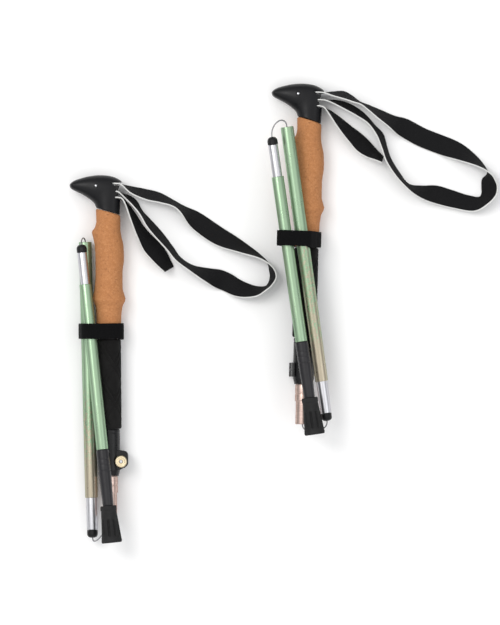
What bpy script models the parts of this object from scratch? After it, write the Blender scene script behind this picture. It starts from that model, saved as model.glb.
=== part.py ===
"""A pair of folding trekking poles, lying folded side by side, each held shut by its hook-and-loop band.

Plan coordinates are millimetres: x to the right, y down the plan, z up from the floor. Every pole is built from one set of
dimensions; only the way its sections lie and the way its wrist strap falls differ."""

import math

import bmesh
import bpy
from mathutils import Matrix, Vector

for ob in list(bpy.data.objects):
    bpy.data.objects.remove(ob, do_unlink=True)

# ---------------------------------------------------------------- dimensions (mm)
CX, CY, CZ = 284.086, 313.327, 0.375  # plan point that becomes the origin

SIDES = 20
HEAD_HALF = 12.4  # half thickness of the head
PIN_AT = (-11.6, 10.7)
PIN_R = 1.35
SLOT_S = (8.9, 16.3, 22.6)  # where the three webbing layers leave the head
CORK_END = 163.8
EVA_START, EVA_END, EVA_R = 164.2, 254.0, 12.2
UPPER_R, UPPER_BORE, UPPER_TOP, UPPER_END = 9.0, 7.7, 46.0, 288.0
CLAMP_START, CLAMP_END, CLAMP_R = 254.4, 301.0, 10.6
BOLT_S, BOLT_X = 286.5, 11.6
EAR_X = 18.6
CAM_Y, CAM_R = 10.9, 3.8
INNER_R, INNER_BORE, INNER_TOP, INNER_END = 7.1, 5.8, 120.0, 341.0
COLLAR_R, COLLAR_START, COLLAR_END = 8.0, 301.4, 318.0
BAND_START, BAND_END, BAND_T = 148.0, 164.0, 1.9

Q_R, Q_BORE, Q_TUBE, Q_FERRULE, Q_FERRULE_R = 6.4, 5.6, 256.0, 32.0, 5.4
P_R, P_BORE, P_TUBE, P_FERRULE, P_FERRULE_R = 6.0, 5.2, 166.0, 32.0, 4.75
CAP = 8.0
P_CAP_R = 5.2
HOLDER, BOOT = 56.0, 37.0
CABLE_R = 0.65
STRAP_W, STRAP_T = 20.0, 1.3
GAP = 0.3

PARTS = bpy.data.collections.new("trekking_poles")
CUTTERS = bpy.data.collections.new("cutters")
for col in (PARTS, CUTTERS):
    bpy.context.scene.collection.children.link(col)

MATERIALS = {
    "head_black": ((0.03, 0.03, 0.032), 0.0, 0.55),
    "cork": ((0.55, 0.31, 0.16), 0.0, 0.85),
    "foam_black": ((0.02, 0.02, 0.02), 0.0, 0.9),
    "tube_black": ((0.03, 0.03, 0.03), 0.3, 0.45),
    "lock_black": ((0.02, 0.02, 0.02), 0.0, 0.3),
    "brass": ((0.72, 0.5, 0.25), 1.0, 0.3),
    "steel": ((0.7, 0.7, 0.72), 1.0, 0.25),
    "rose_gold": ((0.7, 0.5, 0.45), 1.0, 0.35),
    "middle_green": ((0.5, 0.55, 0.4), 0.8, 0.4),
    "lower_green": ((0.45, 0.65, 0.45), 0.8, 0.35),
    "guide_black": ((0.02, 0.02, 0.02), 0.0, 0.5),
    "holder_black": ((0.03, 0.03, 0.035), 0.0, 0.5),
    "rubber": ((0.04, 0.04, 0.04), 0.0, 0.85),
    "carbide": ((0.4, 0.4, 0.42), 1.0, 0.4),
    "cable_grey": ((0.3, 0.3, 0.32), 0.3, 0.4),
    "webbing": ((0.02, 0.02, 0.02), 0.0, 0.95),
    "hook_loop": ((0.02, 0.02, 0.02), 0.0, 0.95),
}


def material(slot, node):
    mat = bpy.data.materials.new(f"{slot}_{node}")
    mat.use_nodes = True
    colour, metal, rough = MATERIALS[slot]
    shader = mat.node_tree.nodes["Principled BSDF"]
    shader.inputs["Base Color"].default_value = (*colour, 1.0)
    shader.inputs["Metallic"].default_value = metal
    shader.inputs["Roughness"].default_value = rough
    return mat


# ---------------------------------------------------------------- frames
def world(x, y, z):
    return Vector(((x - CX) / 1000, (CY - y) / 1000, (z - CZ) / 1000))


def along(top, bottom):
    """A frame whose +Z runs from bottom to top, with +X to the right in plan and -Y towards the sky."""
    u = (world(*top) - world(*bottom)).normalized()
    ex = u.cross(Vector((0, 0, 1))).normalized()
    ey = u.cross(ex)
    m = Matrix((ex, ey, u)).transposed().to_4x4()
    m.translation = world(*top)
    return m


def shifted(m, x=0.0, y=0.0, s=0.0):
    return m @ Matrix.Translation((x / 1000, y / 1000, -s / 1000))


# ---------------------------------------------------------------- makers
def new_object(name, data, m, slot=None):
    ob = bpy.data.objects.new(name, data)
    ob.matrix_world = m
    if slot:
        PARTS.objects.link(ob)
        data.materials.clear()
        data.materials.append(material(slot, name))
    else:
        CUTTERS.objects.link(ob)
        ob.hide_render = True
        ob.display_type = "WIRE"
    return ob


def revolve(name, profile, m, slot=None, closed=False, steps=SIDES):
    """Turn (radius, distance down) points about the frame's Z axis."""
    mesh = bpy.data.meshes.new(name)
    verts = [(r / 1000, 0, -s / 1000) for r, s in profile]
    edges = [(i, i + 1) for i in range(len(verts) - 1)]
    if closed:
        edges.append((len(verts) - 1, 0))
    mesh.from_pydata(verts, edges, [])
    ob = new_object(name, mesh, m, slot)
    mod = ob.modifiers.new("turn", "SCREW")
    mod.steps = mod.render_steps = steps
    mod.angle = 2 * math.pi
    mod.use_merge_vertices = True
    mod.merge_threshold = 0.00005
    mod.use_smooth_shade = True
    return ob


def tube(name, r, bore, s0, s1, m, slot=None, chamfer=0.4, steps=SIDES):
    c = chamfer
    return revolve(
        name,
        [(r - c, s0), (r, s0 + c), (r, s1 - c), (r - c, s1), (bore, s1), (bore, s0)],
        m,
        slot,
        closed=True,
        steps=steps,
    )


def plate(name, outline, y0, y1, m, slot=None, bevel=0.0, segments=2, keep_sharp=()):
    """Extrude an (x, distance down) outline from depth y0 to y1; the edges round both faces can be bevelled."""
    bm = bmesh.new()
    near = [bm.verts.new((x / 1000, y0 / 1000, -s / 1000)) for x, s in outline]
    far = [bm.verts.new((x / 1000, y1 / 1000, -s / 1000)) for x, s in outline]
    n = len(outline)
    bm.faces.new(near)
    bm.faces.new(list(reversed(far)))
    for i in range(n):
        bm.faces.new([near[(i + 1) % n], near[i], far[i], far[(i + 1) % n]])
    bmesh.ops.recalc_face_normals(bm, faces=bm.faces[:])
    if bevel:
        layer = bm.edges.layers.float.new("bevel_weight_edge")
        for ring in (near, far):
            for i in range(n):
                if i in keep_sharp:
                    continue
                e = bm.edges.get((ring[i], ring[(i + 1) % n]))
                e[layer] = 1.0
    mesh = bpy.data.meshes.new(name)
    bm.to_mesh(mesh)
    bm.free()
    ob = new_object(name, mesh, m, slot)
    if bevel:
        mod = ob.modifiers.new("round", "BEVEL")
        mod.limit_method = "WEIGHT"
        mod.width = bevel / 1000
        mod.segments = segments
        mod.use_clamp_overlap = True
    return ob


def box(name, x0, x1, y0, y1, s0, s1, m, slot=None):
    return plate(name, [(x0, s0), (x1, s0), (x1, s1), (x0, s1)], y0, y1, m, slot)


def cross_cylinder(name, r, y0, y1, x, s, m, slot=None, steps=16):
    """A cylinder across the frame, along its Y axis."""
    turned = shifted(m, x, 0, s) @ Matrix.Rotation(math.radians(90), 4, "X")
    return revolve(name, [(0, y0), (r, y0), (r, y1), (0, y1)], turned, slot, steps=steps)


def combine(ob, other, operation):
    mod = ob.modifiers.new(operation.lower(), "BOOLEAN")
    mod.object = other
    mod.operation = operation
    mod.solver = "EXACT"
    return ob


def rings(name, stations, m, slot, bore, steps=SIDES):
    """A loft of offset ellipses: (s, slope, left, right, half_depth) from top to bottom, with a straight bore."""
    bm = bmesh.new()

    def ring(s, slope, cx, rx, ry):
        out = []
        for k in range(steps):
            a = 2 * math.pi * (k + 0.5) / steps
            x, y = cx + rx * math.cos(a), ry * math.sin(a)
            out.append(bm.verts.new((x / 1000, y / 1000, -(s + slope * x) / 1000)))
        return out

    loops = [ring(s, k, (r - l) / 2, (r + l) / 2, d) for s, k, l, r, d in stations]
    first, last = stations[0], stations[-1]
    loops.append(ring(last[0], last[1], 0, bore, bore))
    loops.append(ring(first[0], first[1], 0, bore, bore))
    for i, a in enumerate(loops):
        b = loops[(i + 1) % len(loops)]
        for k in range(steps):
            bm.faces.new([a[k], a[(k + 1) % steps], b[(k + 1) % steps], b[k]])
    bmesh.ops.recalc_face_normals(bm, faces=bm.faces[:])
    for f in bm.faces:
        f.smooth = True
    mesh = bpy.data.meshes.new(name)
    bm.to_mesh(mesh)
    bm.free()
    return new_object(name, mesh, m, slot)


def smooth_path(points, per):
    """A Catmull-Rom curve through the points."""
    out = []
    n = len(points)
    for i in range(n - 1):
        p0, p1, p2, p3 = (points[min(max(j, 0), n - 1)] for j in (i - 1, i, i + 1, i + 2))
        for k in range(per):
            t = k / per
            out.append(
                0.5
                * (
                    2 * p1
                    + (p2 - p0) * t
                    + (2 * p0 - 5 * p1 + 4 * p2 - p3) * t * t
                    + (3 * p1 - p0 - 3 * p2 + p3) * t**3
                )
            )
    out.append(points[-1].copy())
    return out


def ribbon(name, stations, slot, per=2, floor=1.1):
    """Webbing between two edges: each station is the high edge's x, y, the low edge's x, y and the low edge's z; the high
    edge's z follows from the webbing's width."""
    highs, lows = [], []
    for xa, ya, xb, yb, *low in stations:
        z = low[0] if low else floor
        flat = math.hypot(xa - xb, ya - yb)
        if flat > STRAP_W:
            f = STRAP_W / flat
            mx, my = (xa + xb) / 2, (ya + yb) / 2
            xa, ya, xb, yb = (mx + (xa - mx) * f, my + (ya - my) * f, mx + (xb - mx) * f, my + (yb - my) * f)
            flat = STRAP_W
        rise = math.sqrt(max(STRAP_W**2 - flat**2, 0))
        highs.append(world(xa, ya, z + rise))
        lows.append(world(xb, yb, z))
    highs, lows = smooth_path(highs, per), smooth_path(lows, per)
    origin = world(*stations[0][:2], 0)
    bm = bmesh.new()
    rows = []
    for h, l in zip(highs, lows):
        across = (h - l).normalized() * (STRAP_W / 2000)
        mid = (h + l) / 2
        if mid.z - abs(across.z) < floor / 1000:
            mid.z = floor / 1000 + abs(across.z)
        rows.append([bm.verts.new(mid + across * k - origin) for k in (-1, 0, 1)])
    for a, b in zip(rows, rows[1:]):
        for k in range(2):
            bm.faces.new([a[k], a[k + 1], b[k + 1], b[k]])
    for f in bm.faces:
        f.smooth = True
    mesh = bpy.data.meshes.new(name)
    bm.to_mesh(mesh)
    bm.free()
    ob = new_object(name, mesh, Matrix.Translation(origin), slot)
    mod = ob.modifiers.new("thickness", "SOLIDIFY")
    mod.thickness = STRAP_T / 1000
    mod.offset = 0
    mod.use_even_offset = False
    return ob


def cable(name, points, centre, r=CABLE_R):
    """A round cable through world points, with its origin at the fold it bends about."""
    curve = bpy.data.curves.new(name, "CURVE")
    curve.dimensions = "3D"
    curve.bevel_depth = r / 1000
    curve.bevel_resolution = 1
    curve.resolution_u = curve.render_resolution_u = 1
    curve.use_fill_caps = True
    spline = curve.splines.new("POLY")
    spline.points.add(len(points) - 1)
    for p, q in zip(spline.points, points):
        p.co = (*(q - centre), 1)
    return new_object(name, curve, Matrix.Translation(centre), "cable_grey")


def hull(points):
    points = sorted(points)

    def half(run):
        out = []
        for p in run:
            while len(out) > 1 and (
                (out[-1][0] - out[-2][0]) * (p[1] - out[-2][1])
                - (out[-1][1] - out[-2][1]) * (p[0] - out[-2][0])
            ) <= 0:
                out.pop()
            out.append(p)
        return out[:-1]

    return half(points) + half(list(reversed(points)))


def around(circles, grow, sides=18):
    pts = []
    for x, y, r in circles:
        for k in range(sides):
            a = 2 * math.pi * k / sides
            pts.append((x + (r + grow) * math.cos(a), y + (r + grow) * math.sin(a)))
    return hull(pts)


# ---------------------------------------------------------------- one pole
HEAD = [
    (-38.2, 10.2), (-36.6, 7.4), (-32.5, 4.9), (-24.0, 2.2), (-15.0, 0.5), (-6.0, 0.0), (3.0, 1.0), (9.5, 3.4),
    (13.6, 6.2), (15.0, 9.0), (14.4, 13.0), (13.0, 20.0), (12.2, 30.0), (11.9, 39.5), (-11.7, 32.8), (-13.4, 28.6),
    (-17.4, 24.6), (-23.6, 20.3), (-30.8, 16.6), (-36.3, 13.8),
]
CORK = [  # s, slope of the ring, left, right, half depth
    (36.7, 0.284, 11.4, 11.6, 12.0), (38.5, 0.270, 12.0, 12.4, 12.6), (47.0, 0.12, 11.8, 12.3, 12.8),
    (52.5, 0.05, 13.0, 12.3, 13.2), (57.0, 0.0, 16.2, 12.6, 13.6), (62.5, 0.0, 15.0, 13.6, 13.8),
    (70.0, 0.0, 13.6, 15.2, 14.2), (83.0, 0.0, 12.9, 15.8, 14.4), (99.0, 0.0, 12.9, 14.2, 13.9),
    (113.0, 0.0, 14.0, 14.2, 14.2), (124.5, 0.0, 15.8, 16.8, 15.4), (131.5, 0.0, 13.0, 14.1, 13.4),
    (142.0, 0.0, 12.4, 12.7, 12.6), (163.0, 0.0, 12.0, 12.1, 12.1),
]


HEAD_FLAT = 13  # the outline edge that meets the cork
HEAD_LAYERS = ((1.0, 5.2), (0.93, 3.0), (0.78, 1.2), (0.5, 0.25))  # share of the depth, inset


def rounded_head(name, m):
    """The head's outline stacked in layers that pull in towards both faces, thinner at the beak."""
    n = len(HEAD)
    inward = []
    for i in range(n):
        total = Vector((0, 0))
        for j in ((i - 1) % n, i):
            if j != HEAD_FLAT:
                (x0, s0), (x1, s1) = HEAD[j], HEAD[(j + 1) % n]
                total += Vector((s0 - s1, x1 - x0)).normalized()
        inward.append(total.normalized())
    bm = bmesh.new()
    layers = []
    for depth, inset in HEAD_LAYERS + tuple((-d, k) for d, k in reversed(HEAD_LAYERS)):
        ring = []
        for (x, s), d in zip(HEAD, inward):
            lean = min(1.0, 0.42 + 0.58 * (x + 38.2) / 26)
            x2, s2 = x + d.x * inset * lean, s + d.y * inset * lean
            y = depth * HEAD_HALF * (0.74 + 0.26 * min(1.0, (x + 38.2) / 24))
            ring.append(bm.verts.new((x2 / 1000, y / 1000, -s2 / 1000)))
        layers.append(ring)
    for a, b in zip(layers, layers[1:]):
        for i in range(n):
            j = (i + 1) % n
            bm.faces.new([a[i], a[j], b[j], b[i]])
    ends = [bm.faces.new(layers[0]), bm.faces.new(list(reversed(layers[-1])))]
    bmesh.ops.triangulate(bm, faces=ends)
    bmesh.ops.recalc_face_normals(bm, faces=bm.faces[:])
    for f in bm.faces:
        f.smooth = True
    mesh = bpy.data.meshes.new(name)
    bm.to_mesh(mesh)
    bm.free()
    return new_object(name, mesh, m, "head_black")


def pole(tag, handle, middle, lower, turn, lifts, loop, tail):
    n = lambda base: f"{base}_{tag}"
    h = along(*handle)  # origin at the top of the head, on the handle's axis
    q = along(*middle)
    p = along(*lower)
    lock = h @ Matrix.Rotation(math.radians(turn), 4, "Z")

    # --- head and wrist strap anchor
    head = rounded_head(n("head"), h)
    combine(head, cross_cylinder(n("pin_bore"), PIN_R + GAP, -20, 20, *PIN_AT, h), "DIFFERENCE")
    combine(head, box(n("strap_pocket"), 2.0, 20.0, -10.7, 10.7, 7.4, 24.2, h), "DIFFERENCE")
    cross_cylinder(n("strap_pin"), PIN_R, -12.2, 12.2, *PIN_AT, h, "steel", steps=12)
    wedge = [
        (2.4, 7.8), (4.4, 7.8), (4.4, 10.6), (11.6, 10.6), (10.6, 14.6), (4.4, 14.6), (4.4, 18.2), (9.4, 18.2),
        (9.4, 21.0), (4.4, 21.0), (4.4, 23.8), (2.4, 23.8),
    ]
    plate(n("strap_wedge"), wedge, -10.3, 10.3, h, "guide_black")

    # --- grips and the upper tube
    rings(n("cork_grip"), CORK, h, "cork", UPPER_R + GAP)
    c = 1.6
    revolve(
        n("foam_sleeve"),
        [
            (EVA_R - c, EVA_START), (EVA_R - 0.4, EVA_START + 0.5), (EVA_R, EVA_START + c), (EVA_R, EVA_END - c),
            (EVA_R - 0.4, EVA_END - 0.5), (EVA_R - c, EVA_END), (UPPER_R + GAP, EVA_END), (UPPER_R + GAP, EVA_START),
        ],
        h, "foam_black", closed=True,
    )
    tube(n("upper_tube"), UPPER_R, UPPER_BORE, UPPER_TOP, UPPER_END, h, "tube_black")

    # --- lever lock
    clamp = revolve(
        n("lock_clamp"),
        [
            (0, CLAMP_START), (9.9, CLAMP_START), (CLAMP_R, CLAMP_START + 0.8), (CLAMP_R, CLAMP_END - 6.0),
            (9.0, CLAMP_END), (0, CLAMP_END),
        ],
        lock, "lock_black",
    )
    clamp_bore = revolve(
        n("clamp_bore"),
        [
            (0, CLAMP_START - 5), (UPPER_R + GAP, CLAMP_START - 5), (UPPER_R + GAP, UPPER_END + GAP),
            (INNER_R + 0.5, UPPER_END + GAP), (INNER_R + 0.5, CLAMP_END + 5), (0, CLAMP_END + 5),
        ],
        lock,
    )
    ear = [(5.0, 275.2), (10.6, 275.2), (16.9, 276.4), (EAR_X, 279.2), (EAR_X, 289.4), (17.2, 291.4), (10.8, 294.8), (5.0, 296.0)]
    combine(clamp, plate(n("ear_block"), ear, -7.6, 6.4, lock, bevel=1.2), "UNION")
    combine(clamp, clamp_bore, "DIFFERENCE")
    combine(clamp, box(n("ear_slit"), 6.0, 25.0, -0.8, 0.8, 272.0, 305.0, lock), "DIFFERENCE")
    combine(clamp, cross_cylinder(n("bolt_bore"), 2.0, -12, 12, BOLT_X, BOLT_S, lock), "DIFFERENCE")
    combine(clamp, cross_cylinder(n("nut_seat"), 6.25, -14, -7.65, BOLT_X, BOLT_S, lock), "DIFFERENCE")

    bolt = cross_cylinder(n("lock_eyebolt"), 1.6, -10.4, CAM_Y, BOLT_X, BOLT_S, lock, "steel", steps=12)
    eye = revolve(
        n("eye"), [(0, BOLT_S - 1.6), (2.7, BOLT_S - 1.6), (2.7, BOLT_S + 1.6), (0, BOLT_S + 1.6)],
        shifted(lock, BOLT_X, CAM_Y), steps=16,
    )
    combine(bolt, eye, "UNION")
    pin_frame = shifted(lock, BOLT_X, CAM_Y)
    combine(bolt, revolve(n("eye_bore"), [(0, 270), (1.4, 270), (1.4, 300), (0, 300)], pin_frame, steps=16), "DIFFERENCE")
    revolve(
        n("lock_pin"), [(0, 279.2), (1.1, 279.2), (1.1, 293.6), (0, 293.6)], pin_frame, "steel", steps=12
    )
    nut_frame = shifted(lock, BOLT_X, 0, BOLT_S) @ Matrix.Rotation(math.radians(90), 4, "X")
    # its local distance down runs along the lock's +Y, so the face is at -11.6
    nut = revolve(
        n("lock_nut"),
        [(5.2, -11.7), (6.0, -11.0), (6.0, -8.6), (5.4, -7.95), (1.9, -7.95), (1.9, -11.7)],
        nut_frame, "brass", closed=True, steps=20,
    )
    combine(nut, revolve(n("nut_socket"), [(0, -13.0), (2.9, -13.0), (2.9, -10.6), (0, -10.6)], nut_frame, steps=6), "DIFFERENCE")

    # lever: a cam barrel on the pin and a blade that wraps the clamp
    lever_frame = shifted(lock, BOLT_X, CAM_Y, BOLT_S)
    bm = bmesh.new()
    cam = [
        (math.cos(a) * CAM_R, math.sin(a) * CAM_R)
        for a in (math.radians(d) for d in range(-150, 91, 20))
    ]
    inner_r, outer_r = CLAMP_R + 0.4, CLAMP_R + 2.0
    blade_out = [
        (outer_r * math.cos(math.radians(d)) - BOLT_X, outer_r * math.sin(math.radians(d)) - CAM_Y)
        for d in (62, 76, 90, 104, 118, 132)
    ]
    blade_in = [
        (inner_r * math.cos(math.radians(d)) - BOLT_X, inner_r * math.sin(math.radians(d)) - CAM_Y)
        for d in (130, 117, 104, 90, 76, 62, 52)
    ]
    section = cam + blade_out + blade_in
    low = [bm.verts.new((x / 1000, y / 1000, -7.0 / 1000)) for x, y in section]
    high = [bm.verts.new((x / 1000, y / 1000, 7.0 / 1000)) for x, y in section]
    bm.faces.new(low)
    bm.faces.new(list(reversed(high)))
    for i in range(len(section)):
        j = (i + 1) % len(section)
        bm.faces.new([low[j], low[i], high[i], high[j]])
    bmesh.ops.recalc_face_normals(bm, faces=bm.faces[:])
    mesh = bpy.data.meshes.new(n("lock_lever"))
    bm.to_mesh(mesh)
    bm.free()
    lever = new_object(n("lock_lever"), mesh, lever_frame, "lock_black")
    combine(lever, revolve(n("cam_bore"), [(0, -9), (1.4, -9), (1.4, 9), (0, 9)], lever_frame, steps=16), "DIFFERENCE")
    slot_frame = lever_frame
    combine(lever, box(n("cam_slot"), -3.2, 8.0, -8.0, 8.0, -2.0, 2.0, slot_frame), "DIFFERENCE")

    # --- telescoping tube
    tube(n("inner_tube"), INNER_R, INNER_BORE, INNER_TOP, INNER_END, h, "rose_gold")
    revolve(
        n("inner_bush"),
        [
            (6.9, INNER_TOP - 8.3), (7.3, INNER_TOP - 7.6), (7.3, INNER_TOP - GAP), (INNER_BORE - GAP, INNER_TOP - GAP),
            (INNER_BORE - GAP, INNER_TOP + 9), (3.0, INNER_TOP + 9), (3.0, INNER_TOP - 8.3),
        ],
        h, "guide_black", closed=True,
    )
    revolve(
        n("tube_collar"),
        [
            (COLLAR_R - 0.4, COLLAR_START), (COLLAR_R, COLLAR_START + 0.4), (COLLAR_R, 309.6), (COLLAR_R - 0.4, 310.0),
            (COLLAR_R - 0.4, 310.6), (COLLAR_R, 311.0), (COLLAR_R, COLLAR_END - 0.6), (COLLAR_R - 0.5, COLLAR_END),
            (INNER_R + GAP, COLLAR_END), (INNER_R + GAP, COLLAR_START),
        ],
        h, "rose_gold", closed=True,
    )

    # --- middle shaft: open at its top, ferrule and guide cap below
    tube(n("middle_shaft"), Q_R, Q_BORE, 0, Q_TUBE, q, "middle_green")
    tube(n("middle_ferrule"), Q_FERRULE_R, 3.6, Q_TUBE - 14, Q_TUBE + Q_FERRULE, q, "steel", chamfer=0.3, steps=16)
    s = Q_TUBE + Q_FERRULE + GAP
    revolve(
        n("middle_cap"),
        [
            (3.3, s - 6), (3.3, s), (Q_FERRULE_R, s), (Q_FERRULE_R, s + 4.2), (4.9, s + 5.8), (3.7, s + CAP - 1.0),
            (2.0, s + CAP - GAP), (1.05, s + CAP - GAP), (1.05, s - 6),
        ],
        q, "guide_black", closed=True, steps=16,
    )

    # --- lower shaft: guide cap and ferrule above, tip holder below
    revolve(
        n("lower_cap"),
        [
            (1.05, 0.0), (1.9, 0.0), (3.6, 0.8), (4.7, 2.2), (P_CAP_R, 3.8), (P_CAP_R, CAP - GAP),
            (3.0, CAP - GAP), (3.0, CAP + 6), (1.05, CAP + 6),
        ],
        p, "guide_black", closed=True, steps=16,
    )
    s = CAP + P_FERRULE
    tube(n("lower_ferrule"), P_FERRULE_R, 3.4, CAP, s + 14, p, "steel", chamfer=0.3, steps=16)
    tube(n("lower_shaft"), P_R, P_BORE, s, s + P_TUBE, p, "lower_green")
    s += P_TUBE + GAP
    e = s + HOLDER
    revolve(
        n("tip_holder"),
        [
            (0, s - 12), (4.8, s - 12), (4.8, s), (6.1, s), (6.45, s + 0.5), (6.45, s + 20.0), (6.1, s + 20.4),
            (6.1, s + 21.2), (6.4, s + 21.6), (6.2, s + 30.0), (5.4, e - 0.4), (4.6, e + 0.8), (4.4, e + 21),
            (0, e + 22),
        ],
        p, "holder_black",
    )
    revolve(
        n("carbide_tip"),
        [(0, e + 22.3), (1.9, e + 22.3), (1.9, e + 27.5), (1.4, e + 29.6), (0.7, e + 28.9), (0, e + 28.6)],
        p, "carbide", steps=12,
    )
    revolve(
        n("rubber_boot"),
        [
            (0, e + 31.2), (3.6, e + 31.2), (3.6, e + 24.0), (4.9, e + 22.4), (5.0, e + 1.2), (5.8, e), (7.4, e),
            (8.1, e + 0.7), (8.2, e + 8), (8.7, e + 18), (9.7, e + 30), (10.3, e + BOOT - 1.6), (9.6, e + BOOT),
            (0, e + BOOT),
        ],
        p, "rubber",
    )

    # --- steel cables across the two folds
    return h, q, p


def bend(a, ua, b, ub, lift_a, lift_b, inside=4.0):
    """A cable from inside a (leaving along ua) round to inside b (entering against ub)."""
    a, b = Vector(a), Vector(b)
    ua, ub = ua.normalized(), ub.normalized()
    p0, p3 = a - ua * inside / 1000, b - ub * inside / 1000
    c0, c3 = a + ua * lift_a / 1000, b + ub * lift_b / 1000
    pts = [p0]
    for k in range(11):
        t = k / 10
        pts.append(a * (1 - t) ** 3 + 3 * c0 * t * (1 - t) ** 2 + 3 * c3 * t * t * (1 - t) + b * t**3)
    pts.append(p3)
    return pts


def local(m, x, y, s):
    return m @ Vector((x / 1000, y / 1000, -s / 1000))


def folds(tag, h, q, p, lifts):
    up = lambda m: m.to_3x3() @ Vector((0, 0, 1))
    # lower fold: out of the open end of the telescoping tube and into the middle shaft's guide cap
    a, b = local(h, 0, 0, INNER_END), local(q, 0, 0, Q_TUBE + Q_FERRULE + CAP)
    cable(f"lower_cable_{tag}", bend(a, -up(h), b, -up(q), 12.0, 12.0), (a + b) / 2)
    # upper fold: out of the open top of the middle shaft and into the lower shaft's guide cap
    a, b = local(q, 0, 0, 0), local(p, 0, 0, 0)
    cable(f"upper_cable_{tag}", bend(a, up(q), b, up(p), *lifts), (a + b) / 2)


def band(tag, h, circles):
    """Hook-and-loop band round the three sections, square to the handle."""
    outer, inner = around(circles, BAND_T + 0.05), around(circles, 0.0)
    bm = bmesh.new()
    walls = []
    for pts in (outer, inner):
        walls.append(
            [[bm.verts.new((x / 1000, y / 1000, -s / 1000)) for x, y in pts] for s in (BAND_START, BAND_END)]
        )
    for low, high in walls:
        for i in range(len(low)):
            j = (i + 1) % len(low)
            bm.faces.new([low[i], low[j], high[j], high[i]])
    for k in (0, 1):
        edges = []
        for low_high in walls:
            ring = low_high[k]
            edges += [bm.edges.get((ring[i], ring[(i + 1) % len(ring)])) for i in range(len(ring))]
        bmesh.ops.triangle_fill(bm, use_beauty=True, edges=edges)
    bmesh.ops.recalc_face_normals(bm, faces=bm.faces[:])
    mesh = bpy.data.meshes.new(f"band_{tag}")
    bm.to_mesh(mesh)
    bm.free()
    new_object(f"band_{tag}", mesh, h, "hook_loop")


def station_circles(h, q, p, grow):
    """Where the three sections cross the band's middle, in the handle's frame."""
    out = [(0.1, 0.0, 12.9)]
    for m, r in ((q, Q_R), (p, P_R)):
        inv = h.inverted() @ m
        o, d = inv.translation, inv.to_3x3() @ Vector((0, 0, 1))
        t = (-(BAND_START + BAND_END) / 2000 - o.z) / d.z
        at = o + d * t
        lean = math.hypot(d.x, d.y) / abs(d.z) * (BAND_END - BAND_START) / 2
        out.append((at.x * 1000, at.y * 1000, r + grow + lean))
    return out


# ---------------------------------------------------------------- how each pole lies
# (top point, bottom point) of each axis in plan coordinates
LEFT = dict(
    handle=((107.6, 175.0, 15.6), (109.9, 516.0, 15.6)),
    middle=((84.9, 242.0, 9.6), (92.5, 538.0, 15.8)),
    lower=((81.4, 244.7, 24.2), (112.6, 543.7, 38.6)),
    turn=0.0,
    lifts=(7.0, 7.0),
    loop=[
        (113.6, 183.5, 113.6, 183.4, 5.6), (121.2, 184.7, 121.2, 184.5, 5.6), (131.0, 193.5, 131.8, 186.4, 3.0),
        (146.0, 200.0, 144.5, 188.7), (160.0, 203.0, 159.2, 192.4), (172.0, 206.2, 173.9, 200.3),
        (180.5, 213.0, 184.5, 206.1), (193.0, 230.0, 204.5, 215.5), (213.0, 244.0, 226.6, 230.3),
        (238.0, 252.4, 250.0, 246.4), (257.0, 257.6, 261.0, 255.4), (268.2, 263.2, 267.6, 262.4),
        (274.8, 270.0, 269.6, 270.6), (276.4, 277.6, 270.2, 277.2), (272.2, 285.0, 268.2, 283.6),
        (266.0, 290.4, 264.2, 286.6), (256.0, 296.6, 254.0, 285.6), (239.2, 297.6, 241.3, 280.3),
        (222.0, 291.6, 227.0, 271.5), (205.5, 282.4, 210.0, 268.4), (190.0, 271.5, 193.4, 265.5),
        (176.0, 261.0, 180.4, 257.5), (166.5, 249.5, 172.0, 246.0), (155.0, 237.0, 161.5, 232.0),
        (146.5, 226.5, 151.0, 220.4), (139.4, 214.0, 142.0, 210.8, 1.6), (132.0, 205.2, 136.4, 201.0, 1.8),
        (125.8, 199.0, 129.4, 195.6, 3.0), (121.6, 194.6, 122.2, 193.6, 4.8), (118.0, 191.8, 118.0, 191.7, 5.6),
        (113.4, 191.35, 113.4, 191.3, 5.6),
    ],
    tail=[
        (113.4, 197.45, 113.4, 197.4, 5.6), (118.4, 197.5, 118.4, 197.4, 5.6), (122.4, 199.0, 122.6, 198.7, 5.4),
        (126.0, 206.0, 128.2, 204.4, 4.0), (129.6, 217.1, 135.6, 214.4), (134.0, 229.7, 143.5, 226.6), (137.8, 239.2, 151.5, 235.2),
        (143.2, 250.8, 159.5, 243.0), (150.6, 259.6, 165.6, 250.8), (158.0, 267.0, 170.0, 259.8), (164.2, 272.4, 173.4, 266.6),
    ],
)
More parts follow.
